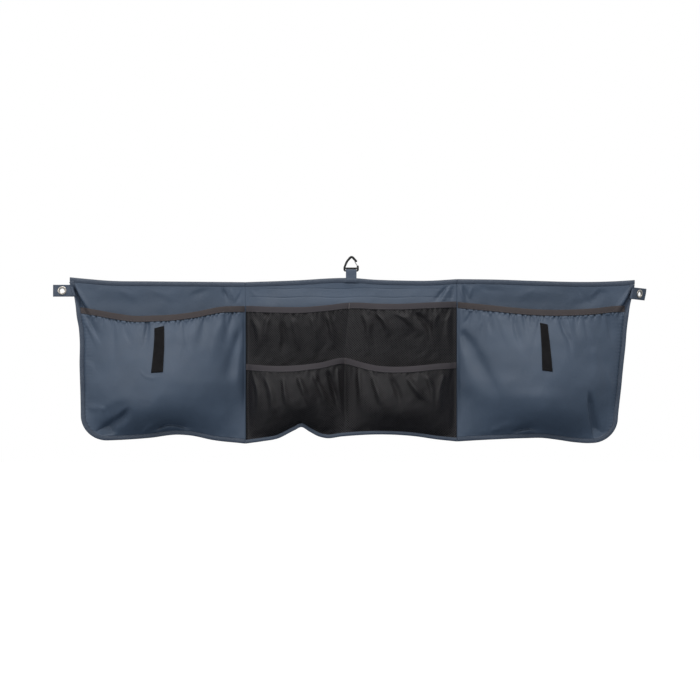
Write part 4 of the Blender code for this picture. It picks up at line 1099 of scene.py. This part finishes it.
def centre_at(u, t, upper):
    """The x and z of the centre at u from -1 at the left fold, 0 at the seam, to 1 at the right fold."""
    level = upper(np.zeros(1)) * (1 - t) + mesh_foot(np.zeros(1)) * t
    seam = -SEAM_LEFT - SEAM_LEAN * smooth(-level / SEAM_END)
    fold = FOLD_X - SEAM_ALLOWANCE - 0.0006
    x = np.where(u < 0, seam + u * (seam + fold), seam + u * (fold - seam))
    return joined(x, upper(x) * (1 - t) + mesh_foot(x) * t)


def mesh_at(u, t, upper, greatest, profile, ply, folds, seed, ruffled=1.0):
    """A mesh pocket's surface: two lobes on the panel, gathered at the mouth, sewn down at u = 0.

    Each lobe is eased over the last FOLD_ROOM of its share of the centre, so that a wing can fold over it.
    """
    plane = centre_at(u, t, upper)
    x, z = plane[..., 0], plane[..., 1]
    edge = np.abs(u)
    depth = greatest * through(profile, 1 - t) * lobe(edge) * smooth((1 - edge) / FOLD_ROOM)
    down = upper(x) - z
    loose = smooth(edge / 0.08) * smooth((1 - edge) / 0.12) * smooth((1 - t) / 0.05)
    ruffles = gathered(x, down, -FOLD_X, FOLD_X, seed, MESH_GATHERS * ruffled) * loose
    relief = waves(x, z, MESH_WAVES, seed) + MESH_RELIEF * fold_relief(x, z, folds)
    relief = relief * loose * smooth((down - ELASTIC_WIDTH) / 0.02)
    return off_panel(x, z, ply * PLY + depth + ruffles + relief)


def net(name, at, across, down, finish, body, slot, node):
    """Knitted net on a surface at(u, t): diamonds meeting at their corners, each with a diamond hole.

    Row j of centres is shifted by half a diamond where j is odd. A hole's corners are its centre plus
    sqrt(open share) times the diamond's half-diagonals, and lie NET_RELIEF behind the strands' middles.
    """
    wide, tall = int(round(across / NET_ACROSS)), int(round(down / NET_DOWN))
    row, column = np.meshgrid(np.arange(tall + 1), np.arange(wide + 1), indexing="ij")
    odd = row % 2

    def spot(columns, rows):
        return at(columns / wide * 2 - 1, np.clip(rows / tall, 0, 1))

    knots = spot(np.clip(column + 0.5 * (1 - odd), 0, wide), row.astype(float))
    middle_row, middle_column = row[1:-1, 1:-1], column[1:-1, 1:-1]
    shift = 0.5 * (middle_row % 2)
    size = math.sqrt(NET_OPEN)
    holes = [spot(middle_column + shift + dx * size, middle_row + dy * size)
             for dx, dy in ((-0.5, 0), (0, -1), (0.5, 0), (0, 1))]
    back = np.array([0, NET_RELIEF, 0])
    rims = np.stack(holes, -2).reshape(-1, 3) + back
    stride = wide + 1
    here = middle_row * stride + middle_column
    odd = middle_row % 2
    left, right = here - 1 + odd, here + odd
    ring = joined(left, here - stride, right, here + stride).reshape(-1, 4)
    hole = knots.size // 3 + np.arange(len(ring) * 4).reshape(-1, 4)
    faces = np.stack([joined(ring[:, i], hole[:, i], hole[:, (i + 1) % 4], ring[:, (i + 1) % 4])
                      for i in range(4)], 1).reshape(-1, 4)
    points = before_panel(np.concatenate([knots.reshape(-1, 3), rims]), TAPE_CLEAR)
    used, faces = np.unique(faces, return_inverse=True)
    return place(name, build_mesh(name, points[used], faces.reshape(-1, 4)), finish, body, slot, node)


def tall_at(u, t, ruffled=1.0):
    return mesh_at(u, t, mouth_of(TALL_MOUTH), TALL_DEPTH, TALL_PROFILE, 1, TALL_FOLDS, 41, ruffled)


def short_at(u, t, ruffled=1.0):
    return mesh_at(u, t, mouth_of(SHORT_MOUTH), SHORT_DEPTH, SHORT_PROFILE, 2, SHORT_FOLDS, 51, ruffled)


net_finish = grained("black net", linear(36, 34, 36), 0.40, 900.0, 0.0003, spread_of_tone=0.12,
                     tone_scale=120.0, specular=0.40)
mesh_elastic = ribbed("mesh binding", linear(65, 61, 64), 0.8, 0.0012, specular=0.3)

# Painted shade: a thin black sheet on the centre panel under the nets darkens what shows through their holes.
SHADE_SHEET_THICKNESS = 0.00016
shade_sheet_finish = woven("painted shade sheet", linear(20, 20, 22), 0.8, 0.0006, 60.0, 0.0004, specular=0.2)
u, t = grid(150, 110, -1, 1)
shade_sheet_x = u * (FOLD_X - 0.0012)
shade_sheet_top = mouth_of(TALL_MOUTH)(u * FOLD_X) - 0.006
shade_sheet_z = shade_sheet_top * (1 - t) + (bottom_edge(shade_sheet_x) + FOOT_WIDTH - 0.001) * t
shade_sheet = cloth("mesh_shade_sheet", off_panel(shade_sheet_x, shade_sheet_z, FABRIC / 2 + 0.0001 + SHADE_SHEET_THICKNESS / 2),
               SHADE_SHEET_THICKNESS, shade_sheet_finish, "panel", "black_mesh")

for name, at, table in (("tall", tall_at, TALL_MOUTH), ("short", short_at, SHORT_MOUTH)):
    fall_of_mesh = float(mouth_of(table)(np.zeros(1))[0] - mesh_foot(np.zeros(1))[0])
    net(f"{name}_mesh_net", at, 2 * FOLD_X, fall_of_mesh, net_finish, "panel", "black_mesh",
                            f"mesh_{name}")

    def smooth_mesh(u, t, at=at):
        return at(u, t, UNDER_TAPE)

    def mesh_fall(u, table=table):
        return mouth_of(table)(u * FOLD_X) - mesh_foot(u * FOLD_X)

    names = f"{name}_mesh_binding", f"{name}_binding_stitches"
    mouth = sewn_mouth(names, smooth_mesh, np.linspace(-0.996, 0.996, 300), mesh_fall, mesh_elastic, "panel",
                       f"mesh_{name}_binding")
    t = np.linspace(0.0, 0.985, 120)
    seam_line = at(np.zeros_like(t), t) - [0, 0.0005, 0]
    tack_t = np.linspace(0.0, ELASTIC_WIDTH / fall_of_mesh, 18)
    tack = smooth_mesh(np.zeros_like(tack_t), tack_t) - [0, TAPE_OFF + 0.0006, 0]
    half_tack = np.array([TACK_WIDTH / 2, 0, 0])
    tacks = [(np.stack([point - half_tack, point + half_tack]), np.tile(FORWARD, (2, 1))) for point in tack]
    seam_sewn = stitches(f"{name}_mesh_seam", [(seam_line, np.tile(FORWARD, (len(t), 1)))], "panel",
                         "dark_elastic", finish=strip_thread)
    tack_sewn = stitches(f"{name}_bar_tack", tacks, "panel", "dark_elastic", pitch=TACK_WIDTH, length=0.0030,
                         radius=0.0004, finish=elastic_thread)
    sewn_on[name] = [*mouth, seam_sewn, tack_sewn]


# Hanging tabs: doubled strips of the shell cloth sewn into each side's binding, each with a plated brass
# grommet set through it: a flanged eyelet from the front, rolled over a washer at the back.
TAB_LENGTH = 0.044
TAB_HEIGHT = 0.0285
TAB_THICKNESS = 0.0014
TAB_SLOPE = {LEFT: 0.0, RIGHT: 6.0}
ROOT_DEPTH = 0.0060
TAB_MARGIN = 0.002
HOLE_RADIUS = 0.0055
FLANGE_RADIUS = 0.0105
GROMMET_FROM_AXIS = 0.0222
HOLE_CLEAR = 0.0009
TAB_CURL = 0.0005
CROWN = 0.0018
GROMMETS = {LEFT: (-0.6931138, -0.003425, -0.0227762), RIGHT: (0.6936122, 0.0108248, -0.0301154)}
TAB_AXES = {
    LEFT: ((-0.6709138, -0.003425, -0.0227762), (-0.95313, 0.0, -0.302561), (-0.302561, 0.0, 0.95313)),
    RIGHT: ((0.6768023, -0.003425, -0.0274305), (0.746295, 0.642788, -0.172822), (0.225603, 0.0, 0.974219)),
}

tab_cloth = woven("tab cloth", linear(68, 78, 93), 0.6, 0.0009, 70.0, 0.0008)
nickel = grained("nickel plate", linear(205, 198, 188), 0.26, 1400.0, 0.00006, spread_of_tone=0.05,
                 tone_scale=260.0, metallic=1.0)


def turned(name, profile, centre, axes, finish, body, slot, node=None, steps=64):
    """A ring: a closed profile of (radius, height) points turned about the third of its axes."""
    angle = np.linspace(0, 2 * np.pi, steps + 1)[None, :]
    radius, height = np.array(profile, float).T[:, :, None]
    local = joined(radius * np.cos(angle), radius * np.sin(angle), height + 0 * angle)
    points = (centre + local @ axes)[:, :-1].reshape(-1, 3)
    faces = grid_faces(len(profile), steps, tube=True, ring=True)
    return place(name, build_mesh(name, points, faces), finish, body, slot, node)


def arc(centre, width, height, start, stop, steps=8):
    """Points on an ellipse between two angles in degrees."""
    return [(centre[0] + width * math.cos(angle), centre[1] + height * math.sin(angle))
            for angle in np.radians(np.linspace(start, stop, steps + 1))]


for side, hand in SIDES.items():
    centre, out, up = (np.array(vector) for vector in TAB_AXES[side])
    plane = np.stack([out, up])
    front = np.cross(out, up) * side
    flat_out = np.array([side * abs(up[2]), 0, -side * up[0]])
    slope = math.radians(TAB_SLOPE[side])
    level = np.array([side * math.cos(slope), 0, -math.sin(slope)])
    along = np.array([level @ flat_out, level @ up])
    upright = np.array([-along[1], along[0]])
    seat = np.array(GROMMETS[side])
    hole = plane @ (seat - centre)
    tip = hole + along * (TAB_LENGTH - GROMMET_FROM_AXIS)
    half_height = upright * TAB_HEIGHT / 2
    low, high = (edge - along * (edge[0] - 0.0001) / along[0]
                 for edge in (hole - half_height, hole + half_height))
    corners = [low, tip - half_height, tip + half_height, high]
    rim = np.concatenate([np.linspace(a, b, 14, endpoint=False)
                          for a, b in zip(corners, corners[1:] + corners[:1])])
    angle = np.unwrap(np.arctan2(rim[:, 1] - hole[1], rim[:, 0] - hole[0]))
    inner = hole + (HOLE_RADIUS + HOLE_CLEAR) * joined(np.cos(angle), np.sin(angle))
    share = np.linspace(0, 1, 9)[:, None, None]
    flat = inner[None] * (1 - share) + rim[None] * share
    flat = np.concatenate([flat, flat[:, :1]], 1)
    curl = TAB_CURL * np.sin(flat[..., 1] / TAB_HEIGHT * np.pi * 1.6) * smooth(flat[..., 0] / 0.03)
    clear = smooth((np.linalg.norm(flat - hole, axis=-1) - FLANGE_RADIUS) / 0.004)
    points = centre + flat @ plane + (curl * clear)[..., None] * front
    cloth(f"{hand}_tab_cloth", points[::-side], TAB_THICKNESS, tab_cloth, f"{hand}_tab", "shell_cloth",
          f"hanging_tab_{hand}")
    inward, v = grid(4, 12)
    height = low[1] + (high[1] - low[1]) * v
    root = centre - (inward * ROOT_DEPTH)[..., None] * flat_out + height[..., None] * up
    sewn_on[side].append(cloth(f"{hand}_tab_root", root, TAB_THICKNESS - 0.0002, tab_cloth, f"{hand}_wing",
                               "shell_cloth"))
    rising, falling = (along + upright) * TAB_MARGIN, (along - upright) * TAB_MARGIN
    seams = np.array([low + rising, tip - half_height - falling, tip + half_height - rising, high + falling])
    rows = [(centre + seams @ plane + facing * TAB_THICKNESS / 2, np.tile(facing, (4, 1)))
            for facing in (front, -front)]
    stitches(f"{hand}_tab_stitches", rows, f"{hand}_tab", "shell_cloth")
    axes = np.stack([out, side * up, front])
    barrel = HOLE_RADIUS + 0.0006
    face = TAB_THICKNESS / 2 + 0.0002
    eyelet = arc((HOLE_RADIUS + 0.0012, face), 0.0012, CROWN - face, 180, 90)
    eyelet += arc((FLANGE_RADIUS - 0.0016, face), 0.0016, CROWN - face, 90, 0)
    eyelet += [(barrel, face), (barrel, -face - 0.0009)]
    eyelet += arc((barrel + 0.0006, -face - 0.0009), 0.0012, 0.0007, 0, -180)
    washer = [(barrel + 0.0002, -face), (FLANGE_RADIUS - 0.0004, -face), (FLANGE_RADIUS, -face - 0.0002)]
    washer += [(FLANGE_RADIUS - 0.0003, -face - 0.0006), (barrel + 0.0002, -face - 0.0007)]
    for name, profile in (("eyelet", eyelet), ("washer", washer)):
        turned(f"{hand}_{name}_ring", profile, seat, axes, nickel, f"{hand}_tab", "nickel",
               f"{name}_{hand}")


# The strap: 25 mm webbing looped through the clip's base. Its front leg goes down inside the hem and its
# back leg behind the panel, where it is stitched through, so a short row shows below the hem.
ROD_RADIUS = 0.0020
CLIP_AXIS = (0.0, -0.003, 0.025)
NECK_Z = CLIP_AXIS[2] - 0.0133

strap_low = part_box("clip_strap")[0]
leg = HEM_STAND_OFF + 0.0003 + STRAP_GAP + WEBBING / 2
loop_radius = ROD_RADIUS + STRAP_GAP + WEBBING / 2
turn = np.linspace(0, np.pi, 17)
hem_foot = float(top_edge(np.zeros(1))[0]) - BINDING_WIDTH
fall = np.linspace(strap_low.z, NECK_Z, 14)
rise = np.linspace(0, 1, 10)[1:-1]
rise_y = leg + (loop_radius - leg) * smooth(rise)
rise_z = fall[-1] + (CLIP_AXIS[2] - fall[-1]) * rise
half = np.concatenate([joined(np.full_like(fall, leg), fall), joined(rise_y, rise_z)])
front_half = half * [-1, 1]
front_half[:len(fall), 1] = np.linspace(hem_foot + 0.0012, NECK_Z, len(fall))
over = joined(loop_radius * np.cos(turn), CLIP_AXIS[2] + loop_radius * np.sin(turn))
section = np.concatenate([half, over, front_half[::-1]])
u = np.linspace(-1, 1, 15)
thinner = 0.00022 * u**6
strap_y = CLIP_AXIS[1] + section[:, :1] * (1 - thinner / leg)
strap_points = joined(*np.broadcast_arrays(STRAP_WIDTH / 2 * u[None], strap_y, section[:, 1:]))
webbing = woven("slate webbing", linear(76, 86, 102), 0.65, 0.0018, 90.0, 0.0008)
cloth("clip_strap_webbing", strap_points, WEBBING, webbing, "panel", "blue_webbing", "clip_strap")

box_low, box_top = strap_low.z + 0.002, hem_foot + BINDING_WIDTH - 0.0015
box_side = STRAP_WIDTH / 2 - 0.002
box = np.array([(-box_side, box_low), (box_side, box_low), (box_side, box_top), (-box_side, box_top)])
line = np.concatenate([np.linspace(a, b, 8, endpoint=False) for a, b in zip(box, np.roll(box, -1, 0))])
back_y = np.full(len(line), CLIP_AXIS[1] + leg + WEBBING / 2)
rows = [(joined(line[:, 0], back_y, line[:, 1]), np.tile([0.0, 1.0, 0.0], (len(line), 1)))]
for height in (box_low, hem_foot - 0.0016):
    x = np.linspace(-box_side, box_side, 12)
    rows.append(on_panel(joined(x, np.full_like(x, height)), FABRIC / 2))
sewn_on[0] += [stitches("strap_box_stitches", rows, "panel", "blue_webbing")]


# The clip: 4 mm rod bent to a triangle, stouter towards its nose, where a sprung wire gate closes it. A bar
# across it keeps the strap at its base. The rod is powder coated black, and the gate is bare bright wire.
CLIP_HALF_WIDTH = 0.0162
CLIP_APEX = (0.0008, 0.0352)
CLIP_BOW = (-0.0104, 0.0224)
CLIP_SHOULDER = 0.0085
CLIP_NOSE = (0.0124, 0.0226)
CROSSBAR_RADIUS = 0.0021
LUG_X = CLIP_HALF_WIDTH - 0.0004
LUG_HEIGHT = 0.0104
GATE_RADIUS = 0.0009
GATE_CLEAR = 0.0003


def rounded(corners, radii, closed=False, steps=10):
    """Points along a path whose corners are arcs of their radius. The ends of an open path stay."""
    corners = [np.array(corner, float) for corner in corners]
    path = []
    for index, corner in enumerate(corners):
        if not closed and index in (0, len(corners) - 1):
            path.append(corner)
            continue
        before = unit(corners[index - 1] - corner)
        after = unit(corners[(index + 1) % len(corners)] - corner)
        half_angle = math.acos(np.clip(before @ after, -1, 1)) / 2
        middle = corner + unit(before + after) * radii[index] / math.sin(half_angle)
        first = unit(corner + before * radii[index] / math.tan(half_angle) - middle)
        last = unit(corner + after * radii[index] / math.tan(half_angle) - middle)
        whole = math.acos(np.clip(first @ last, -1, 1))
        for share in np.linspace(0, 1, steps + 1):
            weights = math.sin((1 - share) * whole), math.sin(share * whole)
            path.append(middle + radii[index] * (first * weights[0] + last * weights[1]) / math.sin(whole))
    return np.array(path)


def rod(name, path, radius, finish, body, slot, node=None, closed=False, sides=16):
    """A round rod along a path, its ends closed by domes: each ring stands square to the path.

    The radius is one value, or one for each point of the path.
    """
    radii = np.full(len(path), radius, float)
    if closed:
        run = unit(np.roll(path, -1, 0) - np.roll(path, 1, 0))
    else:
        bulge = np.radians([75, 50, 25])
        caps = [np.array([end + unit(end - beside) * size * 0.6 * math.sin(b) for b in bulge])
                for end, beside, size in ((path[0], path[1], radii[0]), (path[-1], path[-2], radii[-1]))]
        path = np.concatenate([caps[0], path, caps[1][::-1]])
        radii = np.concatenate([radii[0] * np.cos(bulge), radii, radii[-1] * np.cos(bulge)[::-1]])
        run = unit(np.gradient(path, axis=0))
    side = unit(np.cross(run, np.where(np.abs(run[:, 1:2]) < 0.9, [[0.0, 1.0, 0.0]], [[1.0, 0.0, 0.0]])))
    for index in range(1, len(side)):
        if side[index] @ side[index - 1] < 0:
            side[index] *= -1
    up = np.cross(run, side)
    angle = np.linspace(0, 2 * np.pi, sides, endpoint=False)
    ring = side[:, None] * np.cos(angle)[None, :, None] + up[:, None] * np.sin(angle)[None, :, None]
    points = (path[:, None] + ring * radii[:, None, None]).reshape(-1, 3)
    faces = grid_faces(len(path), sides, tube=True, ring=closed)
    return place(name, build_mesh(name, points, faces), finish, body, slot, node)


def in_clip(x, z, y=0.0):
    return (CLIP_AXIS[0] + x, CLIP_AXIS[1] + y, CLIP_AXIS[2] + z)


coat = grained("black powder coat", linear(24, 24, 25), 0.50, 1500.0, 0.0002, spread_of_tone=0.1,
               tone_scale=300.0)
wire = grained("bright wire", linear(196, 196, 196), 0.24, 2200.0, 0.00004, spread_of_tone=0.05,
               tone_scale=400.0, metallic=1.0)

corners = [in_clip(*corner) for corner in (CLIP_NOSE, CLIP_APEX, CLIP_BOW, (-CLIP_HALF_WIDTH, CLIP_SHOULDER),
                                           (-CLIP_HALF_WIDTH, 0), (CLIP_HALF_WIDTH, 0),
                                           (LUG_X, LUG_HEIGHT - 0.0012))]
path = rounded(corners, [0, 0.0048, 0.0300, 0.0120, 0.0026, 0.0026, 0])
from_base = np.linalg.norm(path - np.array(CLIP_AXIS), axis=1)
stout = ROD_RADIUS + 0.0006 * smooth((from_base - 0.0140) / 0.0040)
stout = stout + 0.0003 * smooth((from_base - 0.024) / 0.008)
rod("clip_rod", path, stout, coat, "clip", "black_metal", "clip_frame")
crossbar = ROD_RADIUS + STRAP_GAP + WEBBING + 0.0001 + CROSSBAR_RADIUS
bar = [in_clip(-CLIP_HALF_WIDTH + 0.0003, crossbar), in_clip(0, crossbar), in_clip(LUG_X + 0.0003, crossbar)]
rod("clip_crossbar", np.array(bar), CROSSBAR_RADIUS, coat, "clip", "black_metal")
lug = [(GATE_RADIUS + GATE_CLEAR, -ROD_RADIUS), (0.0022, -ROD_RADIUS), (0.0026, -ROD_RADIUS + 0.0004),
       (0.0026, ROD_RADIUS - 0.0004), (0.0022, ROD_RADIUS), (GATE_RADIUS + GATE_CLEAR, ROD_RADIUS)]
turned("clip_lug", lug, np.array(in_clip(LUG_X, LUG_HEIGHT)),
       np.array([[1.0, 0, 0], [0, 0, -1.0], [0, 1.0, 0]]), coat, "clip", "black_metal", steps=32)

nose = np.array([CLIP_NOSE[0] - LUG_X, CLIP_NOSE[1] - LUG_HEIGHT])
inward = unit(np.array([-nose[1], nose[0]]))
half_gate = stout[0] + GATE_RADIUS + GATE_CLEAR
tip = nose + inward * half_gate
gate_tip = LUG_X + tip[0], LUG_HEIGHT + tip[1]
corners = [in_clip(LUG_X, LUG_HEIGHT, -half_gate), in_clip(LUG_X, LUG_HEIGHT, half_gate),
           in_clip(*gate_tip, half_gate), in_clip(*gate_tip, -half_gate)]
rod("clip_gate_wire", rounded(corners, [0.0011] * 4, closed=True, steps=6), GATE_RADIUS, wire, "gate",
    "bright_wire", "clip_gate", closed=True, sides=12)


# A loop over the two sides, which does nothing.
for side, hand in SIDES.items():
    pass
